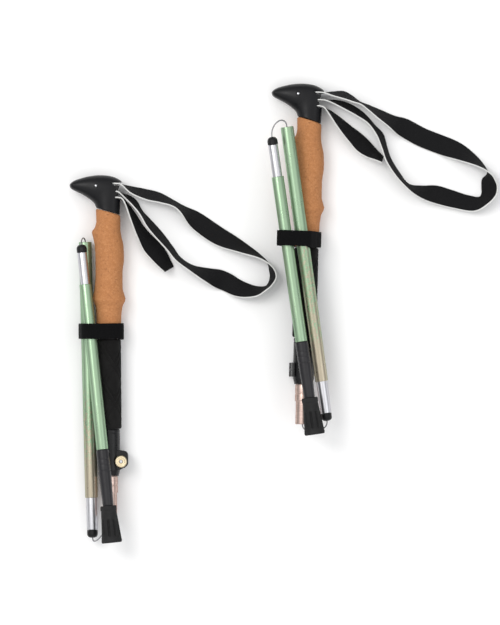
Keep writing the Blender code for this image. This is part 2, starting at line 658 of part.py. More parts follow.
RIGHT = dict(
    handle=((310.1, 83.5, 12.9), (302.4, 424.4, 20.3)),
    middle=((286.9, 127.5, 40.6), (327.3, 423.5, 32.6)),
    lower=((271.8, 137.7, 44.0), (315.0, 436.7, 46.4)),
    turn=90.0,
    lifts=(14.0, 14.0),
    loop=[
        (315.6, 92.2, 315.6, 92.1, 3.3), (323.6, 92.7, 323.6, 92.5, 3.3), (333.0, 96.0, 333.9, 91.2, 2.4),
        (344.8, 99.4, 344.0, 90.8), (353.4, 102.2, 352.0, 95.0), (361.0, 104.6, 360.2, 101.2),
        (368.1, 110.0, 370.0, 105.0), (378.0, 118.6, 382.0, 109.9), (389.0, 127.4, 396.0, 115.6),
        (402.0, 137.6, 411.0, 119.9), (418.0, 146.6, 427.0, 128.0), (437.0, 154.0, 444.0, 134.8),
        (456.0, 159.8, 461.5, 142.9), (470.0, 164.0, 475.0, 153.6), (481.0, 168.0, 483.6, 163.4),
        (489.8, 173.0, 488.2, 172.6), (495.4, 179.2, 482.8, 178.8), (498.2, 186.6, 482.2, 186.8),
        (496.4, 195.6, 482.2, 193.2), (488.0, 204.4, 479.0, 196.8), (474.0, 211.6, 468.4, 194.8),
        (454.2, 208.6, 452.4, 189.6), (434.0, 203.6, 438.0, 185.4), (417.0, 196.4, 423.0, 185.4),
        (405.0, 186.4, 409.4, 183.8), (394.6, 174.6, 399.6, 172.0), (386.0, 160.8, 391.2, 158.0),
        (381.4, 147.6, 387.2, 146.2), (376.0, 134.6, 383.4, 133.6), (367.4, 123.0, 375.0, 124.6),
        (357.0, 116.2, 364.0, 112.4), (345.0, 109.6, 352.0, 104.4, 1.4), (335.0, 104.4, 340.0, 100.2, 2.0),
        (326.6, 100.6, 328.0, 99.6, 2.8), (320.6, 99.8, 320.6, 99.7, 3.3), (315.2, 99.55, 315.2, 99.5, 3.3),
    ],
    tail=[
        (315.0, 105.75, 315.0, 105.7, 3.4), (320.0, 106.0, 320.0, 105.9, 3.4), (324.4, 107.7, 324.7, 107.4, 3.2),
        (328.4, 113.2, 331.4, 110.8, 2.4), (333.6, 121.4, 340.4, 117.0), (340.4, 131.4, 351.0, 125.4), (348.6, 141.8, 360.0, 132.0),
        (356.8, 151.2, 367.0, 138.0), (366.2, 157.2, 373.4, 145.0), (374.4, 160.0, 378.6, 151.0), (381.6, 162.8, 384.0, 156.4),
    ],
)

for tag, lay in (("l", LEFT), ("r", RIGHT)):
    h, q, p = pole(tag, **lay)
    folds(tag, h, q, p, lay["lifts"])
    band(tag, h, station_circles(h, q, p, 0.5))
    ribbon(f"wrist_strap_{tag}", lay["loop"], "webbing")
    ribbon(f"strap_tail_{tag}", lay["tail"], "webbing")
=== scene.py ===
"""Looks for a folding pair of trekking poles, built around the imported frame.

Lengths are millimetres on the same plan as the frame: x to the right, y down the plan, z up from the floor. Each pole section
has a frame at its top end, with +Z towards the head and distance s measured down it."""

import json
import math

import bmesh
import bpy
import numpy as np
from mathutils import Matrix, Vector, noise

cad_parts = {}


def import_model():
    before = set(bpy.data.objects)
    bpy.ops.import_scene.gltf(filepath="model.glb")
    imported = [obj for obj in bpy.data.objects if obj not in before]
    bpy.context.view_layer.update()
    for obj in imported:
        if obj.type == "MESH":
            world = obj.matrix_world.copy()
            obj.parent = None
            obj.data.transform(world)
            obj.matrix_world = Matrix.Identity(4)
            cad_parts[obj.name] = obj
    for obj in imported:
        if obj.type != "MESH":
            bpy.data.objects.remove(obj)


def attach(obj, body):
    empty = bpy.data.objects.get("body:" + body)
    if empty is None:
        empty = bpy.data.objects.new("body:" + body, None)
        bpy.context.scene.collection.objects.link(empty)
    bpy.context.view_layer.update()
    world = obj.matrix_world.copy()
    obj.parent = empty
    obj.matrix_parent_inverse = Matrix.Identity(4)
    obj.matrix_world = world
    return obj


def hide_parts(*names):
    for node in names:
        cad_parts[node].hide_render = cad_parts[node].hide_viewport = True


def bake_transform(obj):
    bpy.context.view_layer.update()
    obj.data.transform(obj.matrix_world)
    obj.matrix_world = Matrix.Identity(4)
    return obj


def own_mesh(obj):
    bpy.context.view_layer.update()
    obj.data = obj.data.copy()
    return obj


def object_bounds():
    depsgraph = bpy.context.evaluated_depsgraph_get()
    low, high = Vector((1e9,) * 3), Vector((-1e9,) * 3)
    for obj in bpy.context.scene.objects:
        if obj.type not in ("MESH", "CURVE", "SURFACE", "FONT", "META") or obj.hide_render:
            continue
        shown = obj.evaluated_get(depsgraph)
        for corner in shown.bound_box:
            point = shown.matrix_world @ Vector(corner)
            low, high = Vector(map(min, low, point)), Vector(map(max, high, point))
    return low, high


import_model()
cad_low, cad_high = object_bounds()

CX, CY, CZ = 284.086, 313.327, 0.375


def world(x, y, z):
    return Vector(((x - CX) / 1000, (CY - y) / 1000, (z - CZ) / 1000))


# ================================================================ camera, floor, light
scene = bpy.context.scene
scene.view_settings.view_transform = "Standard"
scene.view_settings.look = "None"
scene.view_settings.exposure = 0.0

FAR = 6.0
cam_data = bpy.data.cameras.new("camera")
cam_data.sensor_fit = "AUTO"
cam_data.sensor_width = 36.0
cam_data.lens = 36.0 * FAR / 0.625
cam_data.clip_start, cam_data.clip_end = 0.1, 100.0
cam = bpy.data.objects.new("camera", cam_data)
cam.location = world(250.0, 312.5, 20.0) + Vector((0, 0, FAR))
scene.collection.objects.link(cam)
scene.camera = cam


def area_light(name, at, size, size_y, watts, aim=(0.0, 0.0, 0.0), colour=(1, 1, 1)):
    data = bpy.data.lights.new(name, "AREA")
    data.shape = "RECTANGLE"
    data.size, data.size_y, data.energy, data.color = size, size_y, watts, colour
    ob = bpy.data.objects.new(name, data)
    ob.location = at
    ob.rotation_mode = "QUATERNION"
    ob.rotation_quaternion = (Vector(aim) - Vector(at)).to_track_quat("-Z", "Y")
    scene.collection.objects.link(ob)
    return ob


area_light("key", (-1.15, 0.75, 2.3), 0.9, 1.3, 23.0, colour=(1.0, 0.985, 0.97))
area_light("fill", (1.7, -0.5, 1.8), 1.2, 1.2, 5.0, colour=(0.96, 0.98, 1.0))

sky = bpy.data.worlds.new("studio")
scene.world = sky
sky.use_nodes = True
wt = sky.node_tree
coord = wt.nodes.new("ShaderNodeTexCoord")
split = wt.nodes.new("ShaderNodeSeparateXYZ")
ramp = wt.nodes.new("ShaderNodeValToRGB")
wt.links.new(coord.outputs["Generated"], split.inputs[0])
wt.links.new(split.outputs["Z"], ramp.inputs[0])
wt.links.new(ramp.outputs[0], wt.nodes["Background"].inputs[0])
ramp.color_ramp.elements[0].position, ramp.color_ramp.elements[0].color = 0.0, (0.26, 0.27, 0.28, 1)
ramp.color_ramp.elements[1].position, ramp.color_ramp.elements[1].color = 1.0, (1.12, 1.12, 1.12, 1)
low = ramp.color_ramp.elements.new(0.35)
low.color = (0.50, 0.51, 0.52, 1)
high = ramp.color_ramp.elements.new(0.72)
high.color = (1.08, 1.08, 1.08, 1)
wt.nodes["Background"].inputs[1].default_value = 1.0


# ================================================================ materials
def lin(r, g, b):
    return tuple((c / 255 / 12.92) if c / 255 <= 0.04045 else ((c / 255 + 0.055) / 1.055) ** 2.4 for c in (r, g, b))


class Look:
    """A Principled material and short names for the nodes that feed it."""

    def __init__(self, name, colour, rough, metal=0.0, **more):
        self.mat = bpy.data.materials.new(name)
        self.mat.use_nodes = True
        self.tree = self.mat.node_tree
        self.shader = self.tree.nodes["Principled BSDF"]
        self.shader.inputs["Base Color"].default_value = (*colour, 1)
        self.shader.inputs["Roughness"].default_value = rough
        self.shader.inputs["Metallic"].default_value = metal
        for key, value in more.items():
            self.shader.inputs[key.replace("_", " ")].default_value = value
        self.coords = None
        self.height = None

    def node(self, kind, **values):
        made = self.tree.nodes.new("ShaderNode" + kind)
        for key, value in values.items():
            setattr(made, key, value)
        return made

    def put(self, socket, value):
        if isinstance(value, bpy.types.NodeSocket):
            self.tree.links.new(value, socket)
        else:
            socket.default_value = value

    def at(self, scale=(1, 1, 1), source="Object"):
        """Coordinates in metres, scaled."""
        c = self.node("TexCoord")
        m = self.node("Mapping")
        self.put(m.inputs["Vector"], c.outputs[source])
        m.inputs["Scale"].default_value = scale
        return m.outputs[0]

    def noise(self, size, detail=3.0, stretch=(1, 1, 1), rough=0.55, source="Object"):
        """Noise whose blotches are about size metres across."""
        t = self.node("TexNoise")
        self.put(t.inputs["Vector"], self.at(stretch, source))
        t.inputs["Scale"].default_value = 0.5 / size
        t.inputs["Detail"].default_value = detail
        t.inputs["Roughness"].default_value = rough
        return t.outputs[0]

    def cells(self, size, feature="F1", stretch=(1, 1, 1), random=1.0):
        t = self.node("TexVoronoi", feature=feature)
        self.put(t.inputs["Vector"], self.at(stretch))
        t.inputs["Scale"].default_value = 1 / size
        t.inputs["Randomness"].default_value = random
        return t

    def waves(self, size, direction="X", source="UV", profile="SIN", bands="BANDS"):
        t = self.node("TexWave", wave_type=bands, bands_direction=direction, wave_profile=profile)
        self.put(t.inputs["Vector"], self.at(source=source))
        t.inputs["Scale"].default_value = 1 / size * (1 / 6.2832) * math.pi / 10
        return t.outputs[1]

    def spread(self, value, low, high, to_low=0.0, to_high=1.0, smooth=False):
        m = self.node("MapRange")
        if smooth:
            m.interpolation_type = "SMOOTHSTEP"
        self.put(m.inputs["Value"], value)
        for key, v in (("From Min", low), ("From Max", high), ("To Min", to_low), ("To Max", to_high)):
            self.put(m.inputs[key], v)
        return m.outputs["Result"]

    def math(self, operation, a, b=0.0, c=0.0, clamp=False):
        m = self.node("Math", operation=operation, use_clamp=clamp)
        for socket, v in zip(m.inputs, (a, b, c)):
            self.put(socket, v)
        return m.outputs[0]

    def mix(self, factor, a, b, blend="MIX"):
        m = self.node("Mix", data_type="RGBA", blend_type=blend)
        self.put(m.inputs[0], factor)
        for socket, v in ((m.inputs[6], a), (m.inputs[7], b)):
            self.put(socket, (*v, 1) if isinstance(v, tuple) and len(v) == 3 else v)
        return m.outputs[2]

    def ramp(self, value, *stops):
        r = self.node("ValToRGB")
        self.put(r.inputs[0], value)
        e = r.color_ramp.elements
        while len(e) < len(stops):
            e.new(0.5)
        for element, (position, colour) in zip(e, stops):
            element.position = position
            element.color = (*colour, 1)
        return r.outputs[0]

    def axis(self, which="Z", source="Object"):
        s = self.node("SeparateXYZ")
        self.put(s.inputs[0], self.at(source=source))
        return s.outputs[which]

    def colour(self, value):
        self.put(self.shader.inputs["Base Color"], value)
        return self

    def rough(self, value):
        self.put(self.shader.inputs["Roughness"], value)
        return self

    def bump(self, height, depth, strength=1.0):
        """A bump depth metres deep; several stack."""
        b = self.node("Bump")
        b.inputs["Strength"].default_value = strength
        b.inputs["Distance"].default_value = depth
        self.put(b.inputs["Height"], height)
        if self.height is not None:
            self.put(b.inputs["Normal"], self.height)
        self.height = b.outputs[0]
        self.put(self.shader.inputs["Normal"], self.height)
        return self


def edge_wear(look, colour, worn, amount=0.5):
    """Rubbed lighter where the surface turns a sharp edge."""
    g = look.node("NewGeometry")
    sharp = look.spread(g.outputs["Pointiness"], 0.52, 0.62)
    patchy = look.spread(look.noise(0.004, 4), 0.42, 0.62)
    both = look.math("MULTIPLY", look.math("MULTIPLY", sharp, patchy), amount, clamp=True)
    return look.mix(both, colour, worn)


LOOKS = {}


def made(name):
    def keep(build):
        LOOKS[name] = build().mat
        return build

    return keep


@made("head_black")
def _():
    k = Look("moulded_grip_top", (0.02, 0.02, 0.023), 0.36, Specular_IOR_Level=0.2)
    tone = k.noise(0.012, 3)
    k.colour(edge_wear(k, k.mix(tone, (0.0050, 0.0050, 0.0060), (0.0095, 0.0095, 0.0110)), (0.03, 0.03, 0.032), 0.3))
    k.rough(k.spread(k.noise(0.003, 4), 0.3, 0.7, 0.30, 0.44))
    k.bump(k.noise(0.0006, 4), 0.00003, 0.55)
    k.bump(k.noise(0.006, 2), 0.0002, 0.25)
    return k


@made("cork")
def _():
    k = Look("agglomerated_cork", lin(196, 130, 82), 0.82)
    grain = k.cells(0.0021)
    fine = k.cells(0.0009)
    shade = k.node("SeparateColor")
    k.put(shade.inputs[0], grain.outputs["Color"])
    shade2 = k.node("SeparateColor")
    k.put(shade2.inputs[0], fine.outputs["Color"])
    mixed = k.math("ADD", k.math("MULTIPLY", shade.outputs[0], 0.6), k.math("MULTIPLY", shade2.outputs[1], 0.4))
    body = k.ramp(
        mixed,
        (0.0, (0.385, 0.155, 0.054)), (0.25, (0.440, 0.184, 0.066)), (0.6, (0.480, 0.205, 0.076)),
        (0.9, (0.520, 0.232, 0.090)), (1.0, (0.550, 0.255, 0.104)),
    )
    cloudy = k.spread(k.noise(0.014, 3), 0.3, 0.7, 0.0, 1.0)
    body = k.mix(cloudy, body, k.mix(0.5, body, (0.46, 0.185, 0.064)))
    seam = k.cells(0.0021, feature="DISTANCE_TO_EDGE")
    join = k.spread(seam.outputs["Distance"], 0.0, 0.10, 0.26, 0.0)
    body = k.mix(join, body, (0.27, 0.10, 0.034))
    pit_noise = k.noise(0.0016, 5, rough=0.7)
    pits = k.spread(pit_noise, 0.60, 0.68)
    body = k.mix(k.math("MULTIPLY", pits, 0.42), body, (0.17, 0.062, 0.022))
    k.colour(body)
    k.rough(k.spread(grain.outputs["Distance"], 0.0, 0.8, 0.74, 0.92))
    k.bump(join, -0.00008, 0.8)
    k.bump(pits, -0.00018, 0.9)
    k.bump(k.noise(0.0005, 3), 0.00006, 0.6)
    return k


@made("foam_black")
def _():
    k = Look("closed_cell_foam", (0.012, 0.012, 0.012), 0.93, Sheen_Weight=0.03, Sheen_Roughness=0.5, Specular_IOR_Level=0.15)
    cell = k.cells(0.00055)
    k.colour(k.mix(k.spread(k.noise(0.009, 4), 0.3, 0.7), (0.0065, 0.0062, 0.0062), (0.0125, 0.0121, 0.0118)))
    k.rough(k.spread(k.noise(0.002, 3), 0.3, 0.7, 0.84, 0.97))
    k.bump(cell.outputs["Distance"], 0.00010, 0.8)
    k.bump(k.noise(0.0012, 4), 0.0001, 0.5)
    return k


@made("tube_black")
def _():
    k = Look("black_anodised_tube", (0.022, 0.022, 0.024), 0.36, 0.55)
    lines = k.noise(0.0007, 3, stretch=(1, 1, 0.03))
    k.colour(k.mix(lines, (0.014, 0.014, 0.016), (0.034, 0.034, 0.037)))
    k.rough(k.spread(lines, 0.3, 0.7, 0.30, 0.45))
    k.bump(lines, 0.00001, 0.5)
    return k


@made("lock_black")
def _():
    k = Look("glass_filled_nylon", (0.014, 0.014, 0.015), 0.3, Specular_IOR_Level=0.28)
    base = k.mix(k.noise(0.008, 3), (0.0045, 0.0045, 0.0050), (0.0095, 0.0095, 0.0105))
    k.colour(edge_wear(k, base, (0.040, 0.040, 0.042), 0.5))
    k.rough(k.spread(k.noise(0.0016, 5), 0.3, 0.7, 0.22, 0.38))
    k.bump(k.noise(0.0005, 3), 0.00002, 0.6)
    return k


@made("brass")
def _():
    k = Look("gilded_nut", lin(236, 218, 180), 0.24, 1.0)
    turned = k.noise(0.00025, 2, stretch=(1, 1, 1))
    base = k.mix(k.noise(0.002, 3), lin(222, 200, 156), lin(246, 234, 206))
    k.colour(edge_wear(k, base, lin(255, 244, 214), 0.8))
    k.rough(k.spread(turned, 0.3, 0.7, 0.18, 0.34))
    k.bump(turned, 0.00001, 0.5)
    return k


@made("steel")
def _():
    k = Look("drawn_steel", (0.74, 0.74, 0.77), 0.28, 1.0, Specular_Tint=(0.42, 0.40, 0.46, 1.0))
    lines = k.noise(0.00045, 4, stretch=(1, 1, 0.02))
    k.colour(k.mix(k.spread(lines, 0.3, 0.7), (0.58, 0.58, 0.61), (0.69, 0.69, 0.71)))
    smudge = k.spread(k.noise(0.008, 4), 0.4, 0.7, 0.0, 0.06)
    k.rough(k.math("ADD", k.spread(lines, 0.3, 0.7, 0.24, 0.31), smudge))
    k.bump(lines, 0.000002, 0.4)
    return k


@made("rose_gold")
def _():
    k = Look("rose_anodised_tube", lin(214, 184, 168), 0.32, 0.9, Specular_Tint=(0.50, 0.36, 0.33, 1.0))
    turned = k.noise(0.0005, 3, stretch=(0.04, 0.04, 1))
    k.colour(k.mix(k.spread(turned, 0.3, 0.7), lin(190, 165, 155), lin(213, 191, 181)))
    k.rough(k.spread(k.noise(0.003, 4), 0.3, 0.7, 0.26, 0.38))
    k.bump(turned, 0.000006, 0.5)
    return k


def shaft_paint(name, fade):
    """Metallic mint lacquer; with fade=(start, end) it breaks up into small scales of champagne down the shaft."""
    k = Look(name, lin(160, 205, 165), 0.3, 0.8, Coat_Weight=0.3, Coat_Roughness=0.14, Specular_Tint=(0.26, 0.44, 0.30, 1.0))
    flake = k.cells(0.00022)
    grain = k.node("SeparateColor")
    k.put(grain.inputs[0], flake.outputs["Color"])
    mint = k.mix(k.spread(grain.outputs[0], 0.0, 1.0, 0.4, 0.6), lin(140, 168, 139), lin(164, 190, 160))
    mint = k.mix(k.spread(k.noise(0.02, 3), 0.3, 0.7, 0.0, 0.35), mint, lin(158, 182, 150))
    if fade:
        start, end = fade
        down = k.math("MULTIPLY", k.axis("Z"), -1.0)
        sand = k.mix(k.spread(grain.outputs[1], 0.0, 1.0, 0.4, 0.6), lin(172, 161, 140), lin(190, 180, 160))
        scale = k.cells(0.0014, stretch=(1, 1, 0.62), random=0.55)
        chance = k.node("SeparateColor")
        k.put(chance.inputs[0], scale.outputs["Color"])
        share = k.spread(down, start, end)
        over = k.math("SUBTRACT", share, k.math("MULTIPLY", chance.outputs[0], 0.80))
        step = k.spread(over, 0.0, 0.16)
        rim = k.spread(scale.outputs["Distance"], 0.30, 0.52)
        speck = k.math("MULTIPLY", k.math("MULTIPLY", rim, k.spread(share, 0.02, 0.3)), k.spread(share, 1.0, 0.5))
        body = k.mix(step, mint, sand)
        body = k.mix(k.math("MULTIPLY", speck, 0.35), body, lin(126, 142, 110))
        k.colour(body)
        k.bump(k.math("MULTIPLY", speck, 1.0), -0.00002, 0.6)
    else:
        k.colour(mint)
    k.rough(k.spread(k.noise(0.004, 4), 0.3, 0.7, 0.26, 0.36))
    k.bump(k.noise(0.0007, 3), 0.000003, 0.4)
    return k


LOOKS["lower_green"] = shaft_paint("mint_lacquer", None).mat
LOOKS["middle_green_l"] = shaft_paint("mint_to_champagne_l", (0.140, 0.240)).mat
LOOKS["middle_green_r"] = shaft_paint("mint_to_champagne_r", (0.094, 0.246)).mat


@made("guide_black")
def _():
    k = Look("guide_nylon", (0.012, 0.012, 0.013), 0.42, Specular_IOR_Level=0.25)
    k.colour(edge_wear(k, k.mix(k.noise(0.005, 3), (0.004, 0.004, 0.0045), (0.010, 0.010, 0.0105)), (0.04, 0.04, 0.04), 0.4))
    k.rough(k.spread(k.noise(0.001, 4), 0.3, 0.7, 0.34, 0.5))
    k.bump(k.noise(0.0004, 3), 0.00002, 0.6)
    return k


@made("holder_black")
def _():
    k = Look("tip_holder_nylon", (0.018, 0.017, 0.020), 0.34, Specular_IOR_Level=0.4)
    k.colour(edge_wear(k, k.mix(k.noise(0.01, 3), (0.0080, 0.0074, 0.0094), (0.0160, 0.0150, 0.0182)), (0.045, 0.043, 0.048), 0.4))
    k.rough(k.spread(k.noise(0.002, 4), 0.3, 0.7, 0.28, 0.42))
    k.bump(k.noise(0.0005, 3), 0.00002, 0.6)
    return k


@made("rubber")
def _():
    k = Look("moulded_rubber", (0.03, 0.03, 0.031), 0.78, Specular_IOR_Level=0.25)
    dusty = k.spread(k.noise(0.012, 5), 0.35, 0.7)
    base = k.mix(dusty, (0.0125, 0.0125, 0.0130), (0.0225, 0.0225, 0.0230))
    k.colour(edge_wear(k, base, (0.055, 0.054, 0.052), 0.5))
    k.rough(k.spread(k.noise(0.002, 4), 0.3, 0.7, 0.66, 0.88))
    k.bump(k.noise(0.0005, 4), 0.00005, 0.7)
    k.bump(k.noise(0.004, 3), 0.00012, 0.4)
    return k


@made("carbide")
def _():
    k = Look("sintered_carbide", (0.30, 0.30, 0.32), 0.4, 1.0)
    k.rough(k.spread(k.noise(0.0008, 4), 0.3, 0.7, 0.32, 0.5))
    k.bump(k.noise(0.0004, 4), 0.00003, 0.6)
    return k


@made("cable_grey")
def _():
    k = Look("steel_wire_rope", (0.26, 0.26, 0.275), 0.32, 0.95)
    k.colour(k.mix(k.noise(0.0016, 4), (0.17, 0.17, 0.18), (0.36, 0.36, 0.375)))
    k.rough(k.spread(k.noise(0.0008, 3), 0.3, 0.7, 0.24, 0.42))
    k.bump(k.noise(0.0004, 3), 0.00001, 0.5)
    return k


def weave(k, scale=1.0):
    """Threads of a plain weave on UVs in metres: u along the webbing, v across it."""
    u = k.node("SeparateXYZ")
    k.put(u.inputs[0], k.at(source="UV"))
    warp = k.math("SINE", k.math("MULTIPLY", u.outputs[1], 2 * math.pi / (0.00062 * scale)))
    weft = k.math("SINE", k.math("MULTIPLY", u.outputs[0], 2 * math.pi / (0.00058 * scale)))
    return k.math("MULTIPLY", warp, weft)


@made("webbing")
def _():
    k = Look("ribbed_webbing", (0.011, 0.011, 0.012), 0.88, Sheen_Weight=0.02, Sheen_Roughness=0.45, Specular_IOR_Level=0.12)
    threads = weave(k)
    tone = k.mix(k.spread(threads, -1.0, 1.0), (0.0050, 0.0050, 0.0055), (0.0150, 0.0150, 0.0160))
    lint = k.spread(k.noise(0.0011, 5, rough=0.75), 0.62, 0.75, 0.0, 0.35)
    k.colour(k.mix(lint, tone, (0.045, 0.045, 0.046)))
    k.rough(k.spread(threads, -1.0, 1.0, 0.96, 0.80))
    k.bump(threads, 0.00008, 0.8)
    k.bump(k.noise(0.0005, 4), 0.00003, 0.5)
    return k


@made("webbing_edge")
def _():
    k = Look("pale_selvedge", (0.72, 0.72, 0.70), 0.85)
    u = k.node("SeparateXYZ")
    k.put(u.inputs[0], k.at(source="UV"))
    loops = k.math("SINE", k.math("MULTIPLY", u.outputs[0], 2 * math.pi / 0.0009))
    k.colour(k.mix(k.spread(loops, -1.0, 1.0), (0.60, 0.60, 0.585), (0.86, 0.86, 0.84)))
    k.bump(loops, 0.00010, 0.8)
    k.bump(k.noise(0.0005, 4), 0.00004, 0.6)
    return k


@made("hook_loop")
def _():
    k = Look("loop_pile", (0.008, 0.008, 0.009), 0.97, Sheen_Weight=0.03, Sheen_Roughness=0.35, Specular_IOR_Level=0.08)
    pile = k.noise(0.0006, 5, rough=0.8)
    k.colour(k.mix(k.spread(pile, 0.3, 0.7), (0.0025, 0.0025, 0.0028), (0.0075, 0.0075, 0.0080)))
    k.rough(k.spread(pile, 0.3, 0.7, 0.9, 1.0))
    k.bump(pile, 0.00022, 0.9)
    k.bump(k.noise(0.003, 4), 0.0002, 0.5)
    return k


@made("floor")
def _():
    k = Look("studio_paper", (0.86, 0.86, 0.86), 0.7)
    k.colour(k.mix(k.noise(0.4, 3), (0.945, 0.945, 0.945), (0.950, 0.950, 0.950)))
    k.shader.inputs["Specular IOR Level"].default_value = 0.2
    return k


LOOKS["ink"] = None


@made("ink")
def _():
    k = Look("printed_black", (0.012, 0.012, 0.012), 0.4)
    k.rough(k.spread(k.noise(0.002, 4), 0.3, 0.7, 0.34, 0.5))
    return k


# ================================================================ floor
bm = bmesh.new()
bmesh.ops.create_grid(bm, x_segments=2, y_segments=2, size=8.0)
mesh = bpy.data.meshes.new("studio_floor")
bm.to_mesh(mesh)
bm.free()
floor = bpy.data.objects.new("studio_floor", mesh)
floor.location = (0, 0, -0.0002)
mesh.materials.append(LOOKS["floor"])
scene.collection.objects.link(floor)


# ================================================================ frames and mesh makers
def along(top, bottom):
    """+Z runs from bottom to top, +X to the right in plan and -Y towards the sky."""
    u = (world(*top) - world(*bottom)).normalized()
    ex = u.cross(Vector((0, 0, 1))).normalized()
    ey = u.cross(ex)
    m = Matrix((ex, ey, u)).transposed().to_4x4()
    m.translation = world(*top)
    return m


def shifted(m, x=0.0, y=0.0, s=0.0):
    return m @ Matrix.Translation((x / 1000, y / 1000, -s / 1000))


def local(m, x, y, s):
    return m @ Vector((x / 1000, y / 1000, -s / 1000))


def link(name, data, m):
    ob = bpy.data.objects.new(name, data)
    ob.matrix_world = m
    scene.collection.objects.link(ob)
    return ob


def smooth_shade(mesh, angle=38):
    mesh.shade_smooth()
    mesh.set_sharp_from_angle(angle=math.radians(angle))


def rounded_profile(points, radius, closed):
    """Corners of a turned profile eased by a small arc."""
    if radius <= 0:
        return list(points)
    n = len(points)
    out = []
    for i in range(n):
        p = Vector(points[i])
        if not closed and i in (0, n - 1):
            out.append(tuple(p))
            continue
        a, b = Vector(points[(i - 1) % n]), Vector(points[(i + 1) % n])
        da, db = a - p, b - p
        if da.length < 1e-6 or db.length < 1e-6 or p.x < 1e-6:
            out.append(tuple(p))
            continue
        turn = math.pi - da.angle(db)
        if turn < math.radians(6):
            out.append(tuple(p))
            continue
        cut = min(radius * math.tan(turn / 2), 0.42 * da.length, 0.42 * db.length)
        a, b = p + da.normalized() * cut, p + db.normalized() * cut
        steps = 2 if turn < 0.6 else 4
        for k in range(steps + 1):
            t = k / steps
            out.append(tuple(a * (1 - t) ** 2 + p * 2 * t * (1 - t) + b * t * t))
    return out


def refined(points, longest, closed):
    out = []
    n = len(points)
    for i in range(n if closed else n - 1):
        a, b = points[i], points[(i + 1) % n]
        out.append(a)
        parts = max(1, math.ceil(math.dist(a, b) / longest))
        out += [(a[0] + (b[0] - a[0]) * k / parts, a[1] + (b[1] - a[1]) * k / parts) for k in range(1, parts)]
    if not closed:
        out.append(points[-1])
    return out


def grid_mesh(name, rows, wrap_rows, caps=False):
    """Rings of points joined into a skin; a ring of one point is a pole."""
    verts, index = [], []
    for row in rows:
        index.append(range(len(verts), len(verts) + len(row)))
        verts += row
    faces = []
    pairs = list(zip(index, index[1:])) + ([(index[-1], index[0])] if wrap_rows else [])
    for a, b in pairs:
        na, nb = len(a), len(b)
        if na == 1 and nb == 1:
            continue
        n = max(na, nb)
        for k in range(n):
            j = (k + 1) % n
            if na == 1:
                faces.append((a[0], b[j], b[k]))
            elif nb == 1:
                faces.append((a[k], a[j], b[0]))
            else:
                faces.append((a[k], a[j], b[j], b[k]))
    if caps:
        faces.append(tuple(index[0]))
        faces.append(tuple(reversed(index[-1])))
    mesh = bpy.data.meshes.new(name)
    mesh.from_pydata(verts, [], faces)
    bm = bmesh.new()
    bm.from_mesh(mesh)
    bmesh.ops.recalc_face_normals(bm, faces=bm.faces[:])
    bm.to_mesh(mesh)
    bm.free()
    mesh.update()
    return mesh


def lathe(name, profile, m, closed=False, steps=64, ease=0.25, longest=50.0, move=None, angle=38):
    """Turn (radius, distance down) points about the frame's Z axis; move(theta, s, r) shifts the skin outwards, in mm."""
    points = refined(rounded_profile(profile, ease, closed), longest, closed)
    rows = []
    for r, s in points:
        if r < 1e-6:
            rows.append([(0.0, 0.0, -s / 1000)])
            continue
        ring = []
        for k in range(steps):
            a = 2 * math.pi * k / steps
            q = r + (move(a, s, r) if move else 0.0)
            ring.append((q / 1000 * math.cos(a), q / 1000 * math.sin(a), -s / 1000))
        rows.append(ring)
    mesh = grid_mesh(name, rows, closed)
    smooth_shade(mesh, angle)
    return link(name, mesh, m)


def tube_profile(r, bore, s0, s1, chamfer=0.4):
    c = chamfer
    return [(r - c, s0), (r, s0 + c), (r, s1 - c), (r - c, s1), (bore, s1), (bore, s0)]


def plate(name, outline, y0, y1, m, bevel=0.0, segments=4):
    """Extrude an (x, distance down) outline from depth y0 to y1."""
    bm = bmesh.new()
    near = [bm.verts.new((x / 1000, y0 / 1000, -s / 1000)) for x, s in outline]
    far = [bm.verts.new((x / 1000, y1 / 1000, -s / 1000)) for x, s in outline]
    n = len(outline)
    bm.faces.new(near)
    bm.faces.new(list(reversed(far)))
    for i in range(n):
        bm.faces.new([near[(i + 1) % n], near[i], far[i], far[(i + 1) % n]])
    bmesh.ops.recalc_face_normals(bm, faces=bm.faces[:])
    if bevel:
        bmesh.ops.bevel(
            bm, geom=bm.edges[:], offset=bevel / 1000, segments=segments, affect="EDGES", profile=0.5, clamp_overlap=True
        )
    mesh = bpy.data.meshes.new(name)
    bm.to_mesh(mesh)
    bm.free()
    return link(name, mesh, m)


def box(name, x0, x1, y0, y1, s0, s1, m, bevel=0.0):
    return plate(name, [(x0, s0), (x1, s0), (x1, s1), (x0, s1)], y0, y1, m, bevel)


def prism(name, outline, z0, z1, m):
    """Extrude an (x, y) outline along m's Z."""
    bm = bmesh.new()
    low = [bm.verts.new((x / 1000, y / 1000, z0 / 1000)) for x, y in outline]
    high = [bm.verts.new((x / 1000, y / 1000, z1 / 1000)) for x, y in outline]
    bm.faces.new(low)
    bm.faces.new(list(reversed(high)))
    for i in range(len(outline)):
        j = (i + 1) % len(outline)
        bm.faces.new([low[j], low[i], high[i], high[j]])
    bmesh.ops.recalc_face_normals(bm, faces=bm.faces[:])
    mesh = bpy.data.meshes.new(name)
    bm.to_mesh(mesh)
    bm.free()
    return link(name, mesh, m)


def across(m, x=0.0, s=0.0):
    """A frame whose distance down runs along m's +Y."""
    return shifted(m, x, 0, s) @ Matrix.Rotation(math.radians(90), 4, "X")


def combine(ob, other, operation):
    mod = ob.modifiers.new(operation.lower(), "BOOLEAN")
    mod.object = other
    mod.operation = operation
    mod.solver = "EXACT"
    return ob


